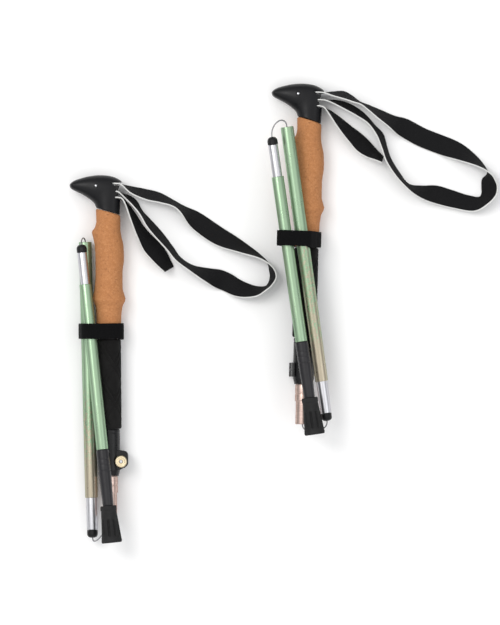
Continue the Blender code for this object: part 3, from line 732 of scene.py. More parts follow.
def settled(ob, tools=(), voxel=0.0, relax=0):
    """The object with its modifiers made real, remeshed to fine even cells if voxel is given; tools are taken away."""
    if voxel:
        mod = ob.modifiers.new("cells", "REMESH")
        mod.mode = "VOXEL"
        mod.voxel_size = voxel / 1000
        mod.use_smooth_shade = True
    if relax:
        mod = ob.modifiers.new("relax", "SMOOTH")
        mod.factor, mod.iterations = 0.5, relax
    bpy.context.view_layer.update()
    graph = bpy.context.evaluated_depsgraph_get()
    mesh = bpy.data.meshes.new_from_object(ob.evaluated_get(graph))
    ob.modifiers.clear()
    old, ob.data = ob.data, mesh
    mesh.name = ob.name
    for t in tools:
        bpy.data.objects.remove(t, do_unlink=True)
    smooth_shade(mesh, 38)
    return ob


def dress(ob, look, body, nodes=(), ride=True):
    ob.data.materials.clear()
    ob.data.materials.append(LOOKS[look])
    if ride:
        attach(ob, body)
    if nodes:
        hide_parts(*nodes)
    return ob


def curve_through(points, per):
    """A Catmull-Rom curve through the points."""
    out = []
    n = len(points)
    for i in range(n - 1):
        p0, p1, p2, p3 = (points[min(max(j, 0), n - 1)] for j in (i - 1, i, i + 1, i + 2))
        for k in range(per):
            t = k / per
            out.append(
                0.5
                * (2 * p1 + (p2 - p0) * t + (2 * p0 - 5 * p1 + 4 * p2 - p3) * t * t + (3 * p1 - p0 - 3 * p2 + p3) * t**3)
            )
    out.append(points[-1].copy())
    return out


def smoothstep(x, a, b):
    t = min(max((x - a) / (b - a), 0.0), 1.0)
    return t * t * (3 - 2 * t)


# ================================================================ sizes, as the frame has them (mm)
HEAD_HALF = 12.4
PIN_AT, PIN_R = (-11.6, 10.7), 1.35
SLOT_S = (8.9, 16.3, 22.6)
EVA_START, EVA_END, EVA_R = 164.2, 254.0, 12.2
UPPER_R, UPPER_BORE, UPPER_TOP, UPPER_END = 9.0, 7.7, 46.0, 288.0
CLAMP_START, CLAMP_END, CLAMP_R = 254.4, 301.0, 10.6
BOLT_S, BOLT_X, EAR_X = 286.5, 11.6, 18.6
CAM_Y, CAM_R = 10.9, 3.8
INNER_R, INNER_BORE, INNER_TOP, INNER_END = 7.1, 5.8, 120.0, 341.0
COLLAR_R, COLLAR_START, COLLAR_END = 8.0, 301.4, 318.0
BAND_START, BAND_END, BAND_T = 148.0, 164.0, 1.9
Q_R, Q_BORE, Q_TUBE, Q_FERRULE, Q_FERRULE_R = 6.4, 5.6, 256.0, 32.0, 5.4
P_R, P_BORE, P_TUBE, P_FERRULE, P_FERRULE_R = 6.0, 5.2, 166.0, 32.0, 4.75
CAP, HOLDER, BOOT, P_CAP_R = 8.0, 56.0, 37.0, 5.2
CABLE_R = 0.65
STRAP_W, STRAP_T = 20.0, 1.3
GAP = 0.3

HEAD = [
    (-11.7, 32.8), (-13.4, 28.6), (-17.4, 24.6), (-23.6, 20.3), (-30.8, 16.6), (-36.3, 13.8), (-38.2, 10.2), (-36.6, 7.4),
    (-32.5, 4.9), (-24.0, 2.2), (-15.0, 0.5), (-6.0, 0.0), (3.0, 1.0), (9.5, 3.4), (13.6, 6.2), (15.0, 9.0), (14.4, 13.0),
    (13.0, 20.0), (12.2, 30.0), (11.9, 39.5),
]
RIDGE = [(-33.6, 9.8), (-24.0, 10.4), (-12.0, 11.6), (-3.0, 14.6), (0.4, 21.0), (0.3, 28.0), (0.1, 36.15)]
CORK = [  # s, slope of the ring, left, right, half depth
    (36.7, 0.284, 11.4, 11.6, 12.0), (38.5, 0.270, 12.0, 12.4, 12.6), (47.0, 0.12, 11.8, 12.3, 12.8),
    (52.5, 0.05, 13.0, 12.3, 13.2), (57.0, 0.0, 16.2, 12.6, 13.6), (62.5, 0.0, 15.0, 13.6, 13.8),
    (70.0, 0.0, 13.6, 15.2, 14.2), (83.0, 0.0, 12.9, 15.8, 14.4), (99.0, 0.0, 12.9, 14.2, 13.9),
    (113.0, 0.0, 14.0, 14.2, 14.2), (124.5, 0.0, 15.8, 16.8, 15.4), (131.5, 0.0, 13.0, 14.1, 13.4),
    (142.0, 0.0, 12.4, 12.7, 12.6), (163.0, 0.0, 12.0, 12.1, 12.1),
]


# ================================================================ the pieces of one pole
def grip_head(tag, h):
    """The bird-head top: a skin that rolls from the outline over to a ridge on each face, round where it meets the cork."""
    outline = curve_through([Vector(p) for p in HEAD], 5)
    ridge = curve_through([Vector(p) for p in RIDGE], 16)
    n, end = len(outline), len(ridge) - 1
    foot = [float(min(range(end + 1), key=lambda k: (ridge[k] - p).length)) for p in outline]
    foot[0] = foot[-1] = float(end)
    for _ in range(14):  # spread the feet along the ridge so the skin does not fold in the neck
        foot = [foot[0]] + [(foot[i - 1] + 2 * foot[i] + foot[i + 1]) / 4 for i in range(1, n - 1)] + [foot[-1]]
    layers = 14
    verts, index = [], {}
    for side in (1, -1):
        for k in range(layers + 1):
            t = 1 - math.cos(k * math.pi / 2 / layers)
            for i in range(n):
                if k == 0 and side == -1:
                    index[side, k, i] = index[1, 0, i]
                    continue
                whole = min(int(foot[i]), end - 1)
                q = ridge[whole].lerp(ridge[whole + 1], foot[i] - whole)
                deep = HEAD_HALF * (0.74 + 0.25 * smoothstep(q.x, -33.6, -9.0)) * (1 - 0.03 * smoothstep(q.y, 20.0, 36.0))
                p = outline[i].lerp(q, t)
                y = side * deep * (1 - (1 - t) ** 2.3) ** (1 / 2.3)
                index[side, k, i] = len(verts)
                verts.append((p.x / 1000, y / 1000, -p.y / 1000))
    faces = []
    for side in (1, -1):
        for k in range(layers):
            for i in range(n - 1):
                faces.append((index[side, k, i], index[side, k, i + 1], index[side, k + 1, i + 1], index[side, k + 1, i]))
        a, b = 0, n - 1
        while a < b - 1:
            if foot[a + 1] > foot[b - 1]:
                faces.append((index[side, layers, a], index[side, layers, a + 1], index[side, layers, b]))
                a += 1
            else:
                faces.append((index[side, layers, a], index[side, layers, b - 1], index[side, layers, b]))
                b -= 1
    rim = [index[1, k, 0] for k in range(layers + 1)] + [index[1, k, n - 1] for k in range(layers, -1, -1)]
    rim += [index[-1, k, n - 1] for k in range(1, layers + 1)] + [index[-1, k, 0] for k in range(layers, 0, -1)]
    faces.append(tuple(rim))
    mesh = bpy.data.meshes.new(f"grip_head_{tag}")
    mesh.from_pydata(verts, [], faces)
    bm = bmesh.new()
    bm.from_mesh(mesh)
    bmesh.ops.remove_doubles(bm, verts=bm.verts[:], dist=0.00002)
    bmesh.ops.triangulate(bm, faces=[f for f in bm.faces if len(f.verts) > 4])
    bmesh.ops.recalc_face_normals(bm, faces=bm.faces[:])
    bm.to_mesh(mesh)
    bm.free()
    ob = link(f"grip_head_{tag}", mesh, h)
    ob = settled(ob, voxel=0.42, relax=3)
    tools = [lathe("bore_tool", [(0, -20), (PIN_R + GAP, -20), (PIN_R + GAP, 20), (0, 20)], across(h, *PIN_AT), steps=48, ease=0.0)]
    tools.append(box("pocket_tool", 2.0, 20.0, -10.7, 10.7, 7.4, 24.2, h, bevel=0.7))
    for s, x in zip(SLOT_S, (10.4, 8.6, 7.6)):
        tools.append(box("notch_tool", x, 22.0, -16.0, 16.0, s - 1.15, s + 1.15, h, bevel=0.4))
    for t in tools:
        combine(ob, t, "DIFFERENCE")
    return settled(ob, tools)


def cork_grip(tag, h):
    """A turned and carved cork grip with its finger swells and thumb ring."""
    def value(column, s):
        xs = [c[0] for c in CORK]
        ys = [c[column] for c in CORK]
        i = max(0, min(len(xs) - 2, next((k for k in range(len(xs) - 1) if s <= xs[k + 1]), len(xs) - 2)))
        hgt = xs[i + 1] - xs[i]
        t = (s - xs[i]) / hgt

        def slope(k):
            if k in (0, len(xs) - 1):
                a, b = (0, 1) if k == 0 else (len(xs) - 2, len(xs) - 1)
                return (ys[b] - ys[a]) / (xs[b] - xs[a])
            d0 = (ys[k] - ys[k - 1]) / (xs[k] - xs[k - 1])
            d1 = (ys[k + 1] - ys[k]) / (xs[k + 1] - xs[k])
            return 0.0 if d0 * d1 <= 0 else 2 * d0 * d1 / (d0 + d1)

        a, b = slope(i) * hgt, slope(i + 1) * hgt
        return (
            ys[i] * (1 + 2 * t) * (1 - t) ** 2 + a * t * (1 - t) ** 2 + ys[i + 1] * t * t * (3 - 2 * t) + b * t * t * (t - 1)
        )

    steps = 96
    rows = []
    s0, s1 = CORK[0][0], CORK[-1][0]
    count = 150
    for j in range(count + 1):
        s = s0 + (s1 - s0) * j / count
        k, left, right, deep = (value(c, s) for c in (1, 2, 3, 4))
        end = min(s - s0, s1 - s)
        ease = 0.5 * (1 - min(1.0, end / 0.9)) ** 2
        rim = 0.35 * math.exp(-(((s - 123.6) / 0.8) ** 2))
        ring = []
        for i in range(steps):
            a = 2 * math.pi * i / steps
            ca, sa = math.cos(a), math.sin(a)
            mid = (right - left) / 2
            half = (right + left) / 2
            x, y = mid + (half - ease + rim) * ca, (deep * 0.985 - ease) * sa
            z = s + k * x
            n = Vector((ca, sa, 0))
            p = Vector((x, y, z))
            grit = noise.noise(p * 1.1) * 0.05 + noise.noise(p * 0.35) * 0.10
            hole = noise.noise(p * 0.72 + Vector((31.0, 7.0, 3.0)))
            grit -= 0.16 * smoothstep(hole, 0.42, 0.62)
            if end < 0.5:
                grit = 0.0
            x, y = x + n.x * grit, y + n.y * grit
            ring.append((x / 1000, y / 1000, -z / 1000))
        rows.append(ring)
    bore = UPPER_R + GAP
    for s, k in ((s1, 0.0), (s0, CORK[0][1])):
        rows.append(
            [
                (bore * math.cos(a) / 1000, bore * math.sin(a) / 1000, -(s + k * bore * math.cos(a)) / 1000)
                for a in (2 * math.pi * i / steps for i in range(steps))
            ]
        )
    mesh = grid_mesh(f"cork_{tag}", rows, True)
    smooth_shade(mesh, 50)
    return link(f"cork_{tag}", mesh, h)


def foam_sleeve(tag, h):
    """Foam with a double-line diamond pattern pressed into it."""
    def quilt(a, s, r):
        if r < EVA_R - 0.5 or s < EVA_START + 2.5 or s > EVA_END - 2.5:
            return 0.0
        deep = 0.0
        for sign in (1, -1):
            w = (3 * a / (2 * math.pi) + sign * (s - EVA_START - 8.0) / 36.0) % 1.0
            for line in (0.10, 0.90):
                d = abs(w - line) * 36.0 * 0.58
                deep = max(deep, 1 - smoothstep(d, 0.35, 1.15))
        fade = smoothstep(s, EVA_START + 2.5, EVA_START + 5) * (1 - smoothstep(s, EVA_END - 5, EVA_END - 2.5))
        return -0.75 * deep * fade

    c = 1.8
    profile = [
        (EVA_R - c, EVA_START), (EVA_R - 0.5, EVA_START + 0.5), (EVA_R, EVA_START + c), (EVA_R, EVA_END - c),
        (EVA_R - 0.5, EVA_END - 0.5), (EVA_R - c, EVA_END), (UPPER_R + GAP, EVA_END), (UPPER_R + GAP, EVA_START),
    ]
    return lathe(f"foam_{tag}", profile, h, closed=True, steps=144, ease=0.9, longest=0.62, move=quilt, angle=60)


def lock_clamp(tag, lock):
    ob = lathe(
        f"clamp_body_{tag}",
        [
            (0, CLAMP_START), (9.9, CLAMP_START), (CLAMP_R, CLAMP_START + 0.8), (CLAMP_R, CLAMP_START + 3.0),
            (CLAMP_R - 0.35, CLAMP_START + 3.4), (CLAMP_R - 0.35, CLAMP_START + 4.0), (CLAMP_R, CLAMP_START + 4.4),
            (CLAMP_R, CLAMP_END - 6.0), (9.0, CLAMP_END), (0, CLAMP_END),
        ],
        lock, steps=96,
    )
    ear = [(5.0, 275.2), (10.6, 275.2), (16.9, 276.4), (EAR_X, 279.2), (EAR_X, 289.4), (17.2, 291.4), (10.8, 294.8), (5.0, 296.0)]
    tools = [plate("ear_tool", ear, -7.6, 6.4, lock, bevel=1.5)]
    combine(ob, tools[0], "UNION")
    cuts = [
        lathe(
            "bore_tool",
            [
                (0, CLAMP_START - 5), (UPPER_R + GAP, CLAMP_START - 5), (UPPER_R + GAP, UPPER_END + GAP),
                (INNER_R + 0.5, UPPER_END + GAP), (INNER_R + 0.5, CLAMP_END + 5), (0, CLAMP_END + 5),
            ],
            lock, steps=96, ease=0.0,
        ),
        box("slit_tool", 6.0, 25.0, -0.8, 0.8, 272.0, 305.0, lock),
        lathe("bolt_tool", [(0, -12), (2.0, -12), (2.0, 12), (0, 12)], across(lock, BOLT_X, BOLT_S), steps=32, ease=0.0),
        lathe("seat_tool", [(0, -14), (6.4, -14), (6.4, -7.6), (0, -7.6)], across(lock, BOLT_X, BOLT_S), steps=64, ease=0.0),
    ]
    for t in cuts:
        combine(ob, t, "DIFFERENCE")
    return settled(ob, tools + cuts, voxel=0.32, relax=3)


def lock_lever(tag, lock):
    """A cam barrel with grip ribs, and a blade that wraps the clamp."""
    at = shifted(lock, BOLT_X, CAM_Y, BOLT_S)
    inner_r, outer_r = CLAMP_R + 0.4, CLAMP_R + 2.0

    def arc(radius, degrees):
        return [(radius * math.cos(math.radians(d)) - BOLT_X, radius * math.sin(math.radians(d)) - CAM_Y) for d in degrees]

    cam = []
    for d in range(-150, 91, 5):
        a = math.radians(d)
        ribs = 0.22 * max(0.0, math.cos(math.radians(d) * 12)) * (1 if -100 < d < 85 else 0)
        cam.append((math.cos(a) * (CAM_R - 0.1 + ribs - 0.12), math.sin(a) * (CAM_R - 0.1 + ribs - 0.12)))
    section = cam + arc(outer_r, range(62, 131, 4)) + [arc((inner_r + outer_r) / 2, (132,))[0]] + arc(inner_r, range(130, 51, -4))
    ob = prism(f"lever_{tag}", section, -7.0, 7.0, at)
    tools = [
        lathe("cam_tool", [(0, -9), (1.4, -9), (1.4, 9), (0, 9)], at, steps=32, ease=0.0),
        lathe("eye_room", [(0, -1.95), (3.05, -1.95), (3.05, 1.95), (0, 1.95)], at, steps=48, ease=0.0),
        prism(
            "sweep_tool",
            [(0.0, 0.0)] + [(8 * math.cos(math.radians(d)), 8 * math.sin(math.radians(d))) for d in range(-132, 53, 8)],
            -1.95, 1.95, at,
        ),
    ]
    for t in tools:
        combine(ob, t, "DIFFERENCE")
    return settled(ob, tools, voxel=0.26, relax=3)


def eyebolt(tag, lock):
    ob = lathe(
        f"eyebolt_{tag}", [(0, -10.4), (1.35, -10.4), (1.6, -10.1), (1.6, CAM_Y), (0, CAM_Y)], across(lock, BOLT_X, BOLT_S),
        steps=32, longest=0.25, ease=0.0,
        move=lambda a, s, r: 0.0 if r < 1.5 or s > -2.0 else -0.12 * (0.5 + 0.5 * math.cos(2 * math.pi * s / 0.8 + a)),
    )
    pin = shifted(lock, BOLT_X, CAM_Y)
    eye = lathe(
        "eye_tool", [(0, BOLT_S - 1.6), (2.7, BOLT_S - 1.6), (2.7, BOLT_S + 1.6), (0, BOLT_S + 1.6)], pin, steps=48, ease=0.35
    )
    hole = lathe("hole_tool", [(0, 270), (1.4, 270), (1.4, 300), (0, 300)], pin, steps=32, ease=0.0)
    combine(ob, eye, "UNION")
    combine(ob, hole, "DIFFERENCE")
    return settled(ob, [eye, hole])


def lock_nut(tag, lock):
    """A dished nut with a knurled rim and a hex socket."""
    at = across(lock, BOLT_X, BOLT_S)
    ob = lathe(
        f"nut_{tag}",
        [(3.5, -11.35), (4.1, -11.7), (5.2, -11.7), (6.0, -11.0), (6.0, -8.6), (5.4, -7.95), (1.9, -7.95), (1.9, -11.35)],
        at, closed=True, steps=120, ease=0.18, longest=0.35,
        move=lambda a, s, r: -0.16 * max(0.0, math.cos(a * 30)) if r > 5.85 else 0.0,
    )
    hexagon = lathe("hex_tool", [(0, -13.0), (2.9, -13.0), (2.9, -10.6), (0, -10.6)], at, steps=6, ease=0.0)
    combine(ob, hexagon, "DIFFERENCE")
    return settled(ob, [hexagon])


def boot(tag, p, e):
    """A flared rubber boot with a rolled rim and long hollows round its lower half."""
    def hollows(a, s, r):
        if r < 6.5:
            return 0.0
        run = smoothstep(s, e + 13.0, e + 15.5) * (1 - smoothstep(s, e + 29.0, e + 31.5))
        w = (a * 9 / (2 * math.pi)) % 1.0
        half = abs(w - 0.5) * 2 * math.pi * r / 9
        cut = 1 - smoothstep(half, 0.6, 1.5)
        tread = 0.0
        if s > e + 32.6:
            v = (a * 18 / (2 * math.pi)) % 1.0
            tread = -0.25 * (1 - smoothstep(abs(v - 0.5), 0.06, 0.16)) * smoothstep(s, e + 32.6, e + 33.4)
        return -2.0 * run * cut + tread

    profile = [
        (0, e + 31.2), (3.6, e + 31.2), (3.6, e + 24.0), (4.9, e + 22.4), (5.0, e + 1.2), (5.8, e), (7.4, e), (8.1, e + 0.7),
        (8.15, e + 4.2), (7.75, e + 5.0), (7.9, e + 8), (8.7, e + 18), (9.7, e + 30), (10.3, e + BOOT - 1.6), (9.6, e + BOOT), (0, e + BOOT),
    ]
    return lathe(f"boot_{tag}", profile, p, steps=144, ease=0.6, longest=0.8, move=hollows, angle=50)


def wire(name, points, r, twist=9.0):
    """A stranded wire through world points: six strands laid round in a helix."""
    fine = curve_through(points, 10)
    steps = 30
    rows = []
    run = 0.0
    up = Vector((0.31, 0.77, 0.55)).normalized()
    for i, p in enumerate(fine):
        a, b = fine[max(i - 1, 0)], fine[min(i + 1, len(fine) - 1)]
        t = (b - a).normalized()
        if i:
            run += (p - fine[i - 1]).length
        n1 = (up - t * up.dot(t)).normalized()
        up = n1
        n2 = t.cross(n1)
        ring = []
        for k in range(steps):
            ang = 2 * math.pi * k / steps
            q = r / 1000 * (1 - 0.14 * (0.5 - 0.5 * math.cos(6 * ang + run * 1000 * 2 * math.pi * 6 / twist)) ** 2)
            ring.append(tuple(p + n1 * (q * math.cos(ang)) + n2 * (q * math.sin(ang))))
        rows.append(ring)
    mesh = grid_mesh(name, rows, False, caps=True)
    smooth_shade(mesh, 60)
    return link(name, mesh, Matrix.Identity(4))


def bend(a, ua, b, ub, lift_a, lift_b, inside=4.0):
    ua, ub = ua.normalized(), ub.normalized()
    c0, c3 = a + ua * lift_a / 1000, b + ub * lift_b / 1000
    pts = [a - ua * inside / 1000]
    for k in range(11):
        t = k / 10
        pts.append(a * (1 - t) ** 3 + 3 * c0 * t * (1 - t) ** 2 + 3 * c3 * t * t * (1 - t) + b * t**3)
    pts.append(b - ub * inside / 1000)
    return pts


def hull(points):
    points = sorted(points)

    def half(run):
        out = []
        for p in run:
            while len(out) > 1 and (
                (out[-1][0] - out[-2][0]) * (p[1] - out[-2][1]) - (out[-1][1] - out[-2][1]) * (p[0] - out[-2][0])
            ) <= 0:
                out.pop()
            out.append(p)
        return out[:-1]

    return half(points) + half(list(reversed(points)))


def around(circles, grow, sides=60):
    pts = []
    for x, y, r in circles:
        for k in range(sides):
            a = 2 * math.pi * k / sides
            pts.append((x + (r + grow) * math.cos(a), y + (r + grow) * math.sin(a)))
    return hull(pts)


def evenly(points, step):
    """A closed outline walked in even steps."""
    ring = points + [points[0]]
    lengths = [math.dist(a, b) for a, b in zip(ring, ring[1:])]
    total = sum(lengths)
    count = max(8, round(total / step))
    out, i, used = [], 0, 0.0
    for k in range(count):
        want = total * k / count
        while used + lengths[i] < want:
            used += lengths[i]
            i += 1
        t = (want - used) / lengths[i]
        a, b = ring[i], ring[i + 1]
        out.append((a[0] + (b[0] - a[0]) * t, a[1] + (b[1] - a[1]) * t))
    return out, total


def band(tag, h, circles):
    """A hook-and-loop band: a soft strip pulled round the sections, with its end lapped over itself."""
    path, total = evenly(around(circles, 0.95), 0.6)
    n = len(path)
    half = (BAND_END - BAND_START) / 2
    mid = (BAND_START + BAND_END) / 2
    # the lap starts on the side away from the shafts, on top
    start = max(range(n), key=lambda i: path[i][0] - 0.9 * path[i][1])
    lap = 15.0
    rows = []
    for i in range(n):
        a, b = path[(i - 1) % n], path[(i + 1) % n]
        t = Vector((b[0] - a[0], b[1] - a[1])).normalized()
        out = Vector((t.y, -t.x))
        x, y = path[i]
        along_band = ((i - start) % n) * total / n
        over = 1.0 - smoothstep(along_band, lap - 0.8, lap)
        if along_band > total - 0.6:
            over = 1.0
        thick = 0.85 + 0.35 * over
        wide = half - 0.35 + 0.5 * over
        drift = 0.45 * over
        ring = []
        cross = [
            (-1.0, -0.6), (-1.0, 0.6), (-0.985, 0.95), (-0.95, 1.0), (-0.75, 1.0), (-0.5, 1.0), (-0.25, 1.0), (0.0, 1.0), (0.25, 1.0),
            (0.5, 1.0), (0.75, 1.0), (0.95, 1.0), (0.985, 0.95), (1.0, 0.6), (1.0, -0.6), (0.985, -0.95), (0.95, -1.0), (0.5, -1.0),
            (0.0, -1.0), (-0.5, -1.0), (-0.95, -1.0), (-0.985, -0.95),
        ]
        for v, w in cross:
            s = mid + drift + v * wide
            p3 = Vector((x, y, s))
            fuzz = 0.10 * noise.noise(p3 * 1.6) + 0.06 * noise.noise(p3 * 4.1)
            off = w * thick * (0.92 if abs(v) > 0.9 else 1.0) + (fuzz if w > 0 else 0.0)
            edge = 0.18 * noise.noise(Vector((x * 0.5, y * 0.5, 9.0 * v))) * (1 if abs(v) > 0.9 else 0)
            ring.append(((x + out.x * off) / 1000, (y + out.y * off) / 1000, -(s + edge) / 1000))
        rows.append(ring)
    mesh = grid_mesh(f"closing_band_{tag}", rows, True)
    smooth_shade(mesh, 60)
    return link(f"closing_band_{tag}", mesh, h), total / 1000


def station_circles(h, q, p, grow):
    out = [(0.1, 0.0, 12.9)]
    for m, r in ((q, Q_R), (p, P_R)):
        inv = h.inverted() @ m
        o, d = inv.translation, inv.to_3x3() @ Vector((0, 0, 1))
        t = (-(BAND_START + BAND_END) / 2000 - o.z) / d.z
        at = o + d * t
        lean = math.hypot(d.x, d.y) / abs(d.z) * (BAND_END - BAND_START) / 2
        out.append((at.x * 1000, at.y * 1000, r + grow + lean))
    return out


def webbing(name, stations, floor=1.1, cut_end=False):
    """Webbing between two edges: each station is the high edge's x, y, the low edge's x, y and the low edge's z. The skin has
    cross ribs, and its selvedges are pale."""
    highs, lows = [], []
    for xa, ya, xb, yb, *low in stations:
        z = low[0] if low else floor
        flat = math.hypot(xa - xb, ya - yb)
        if flat > STRAP_W:
            f = STRAP_W / flat
            mx, my = (xa + xb) / 2, (ya + yb) / 2
            xa, ya, xb, yb = (mx + (xa - mx) * f, my + (ya - my) * f, mx + (xb - mx) * f, my + (yb - my) * f)
            flat = STRAP_W
        rise = math.sqrt(max(STRAP_W**2 - flat**2, 0))
        highs.append(world(xa, ya, z + rise))
        lows.append(world(xb, yb, z))
    highs, lows = curve_through(highs, 40), curve_through(lows, 40)
    mids, sides = [], []
    for hi, lo in zip(highs, lows):
        side = (hi - lo).normalized()
        mid = (hi + lo) / 2
        lift = abs(side.z) * STRAP_W / 2000
        if mid.z - lift < floor / 1000:
            mid.z = floor / 1000 + lift
        mids.append(mid)
        sides.append(side)
    # walk the middle in even steps
    run = [0.0]
    for a, b in zip(mids, mids[1:]):
        run.append(run[-1] + (b - a).length)
    length = run[-1]
    pitch = 0.00145
    step = pitch / 5
    count = int(length / step)
    xs = np.linspace(0, length, count + 1)
    run = np.array(run)
    mid_np = np.array([tuple(v) for v in mids])
    side_np = np.array([tuple(v) for v in sides])
    mid_i = np.stack([np.interp(xs, run, mid_np[:, k]) for k in range(3)], 1)
    side_i = np.stack([np.interp(xs, run, side_np[:, k]) for k in range(3)], 1)
    # soften the facing over a few mm so the twist reads as cloth
    win = 9
    kernel = np.ones(win) / win
    for k in range(3):
        padded = np.pad(side_i[:, k], win // 2, mode="edge")
        side_i[:, k] = np.convolve(padded, kernel, mode="valid")
    side_i /= np.linalg.norm(side_i, axis=1)[:, None]
    tang = np.gradient(mid_i, axis=0)
    tang /= np.linalg.norm(tang, axis=1)[:, None]
    normal = np.cross(tang, side_i)
    normal /= np.linalg.norm(normal, axis=1)[:, None]
    w, t = STRAP_W / 2000, STRAP_T / 2000
    cross = [
        (-1.0, 0.0, 1), (-0.995, 0.62, 1), (-0.965, 0.96, 1), (-0.915, 1.0, 0), (-0.88, 0.93, 0), (-0.5, 1.0, 0), (0.0, 1.02, 0),
        (0.5, 1.0, 0), (0.88, 0.93, 0), (0.915, 1.0, 0), (0.965, 0.96, 1), (0.995, 0.62, 1), (1.0, 0.0, 1), (0.995, -0.62, 1),
        (0.965, -0.96, 1), (0.915, -1.0, 0), (0.88, -0.93, 0), (0.5, -1.0, 0), (0.0, -1.02, 0), (-0.5, -1.0, 0), (-0.88, -0.93, 0),
        (-0.915, -1.0, 0), (-0.965, -0.96, 1), (-0.995, -0.62, 1),
    ]
    m = len(cross)
    v = np.array([c[0] for c in cross])
    d = np.array([c[1] for c in cross])
    inner = np.abs(v) < 0.9
    rib = 0.5 + 0.5 * np.cos(2 * math.pi * xs / pitch)
    sink = np.where(inner[None, :], (1 - 0.24 * (1 - rib))[:, None], 1.0)
    wobble = np.array([noise.noise(Vector((x * 60, 3.0, 1.0))) for x in xs]) * 0.0002
    verts = (
        mid_i[:, None, :]
        + side_i[:, None, :] * (v * w)[None, :, None]
        + normal[:, None, :] * (d[None, :] * t * sink + (wobble[:, None] * (1 - v**2)[None, :]) * 0.5)[:, :, None]
    )
    lowest = 0.00012
    verts[:, :, 2] = np.maximum(verts[:, :, 2], lowest)
    verts = verts.reshape(-1, 3)
    faces, uvs, marks = [], [], []
    rows = len(xs)
    across_at = np.cumsum([0] + [math.dist(cross[k][:1] , cross[(k + 1) % m][:1]) * w for k in range(m)])
    for i in range(rows - 1):
        for k in range(m):
            j = (k + 1) % m
            a, b, c, e = i * m + k, i * m + j, (i + 1) * m + j, (i + 1) * m + k
            faces.append((a, b, c, e))
            uk, uj = v[k] * w, v[j] * w
            uvs += [(xs[i], uk), (xs[i], uj), (xs[i + 1], uj), (xs[i + 1], uk)]
            marks.append(1 if min(v[k], v[j]) > 0.91 else 0)
    faces.append(tuple(range(m)))
    uvs += [(0.0, v[k] * w) for k in range(m)]
    marks.append(0)
    faces.append(tuple(reversed(range((rows - 1) * m, rows * m))))
    uvs += [(length, v[k] * w) for k in reversed(range(m))]
    marks.append(0)
    mesh = bpy.data.meshes.new(name)
    mesh.from_pydata([tuple(p) for p in verts], [], faces)
    layer = mesh.uv_layers.new(name="metres")
    layer.data.foreach_set("uv", np.array(uvs, np.float32).ravel())
    mesh.materials.append(LOOKS["webbing"])
    mesh.materials.append(LOOKS["webbing_edge"])
    mesh.polygons.foreach_set("material_index", np.array(marks, np.int32))
    bm = bmesh.new()
    bm.from_mesh(mesh)
    bmesh.ops.recalc_face_normals(bm, faces=bm.faces[:])
    bm.to_mesh(mesh)
    bm.free()
    smooth_shade(mesh, 60)
    return link(name, mesh, Matrix.Identity(4)), length


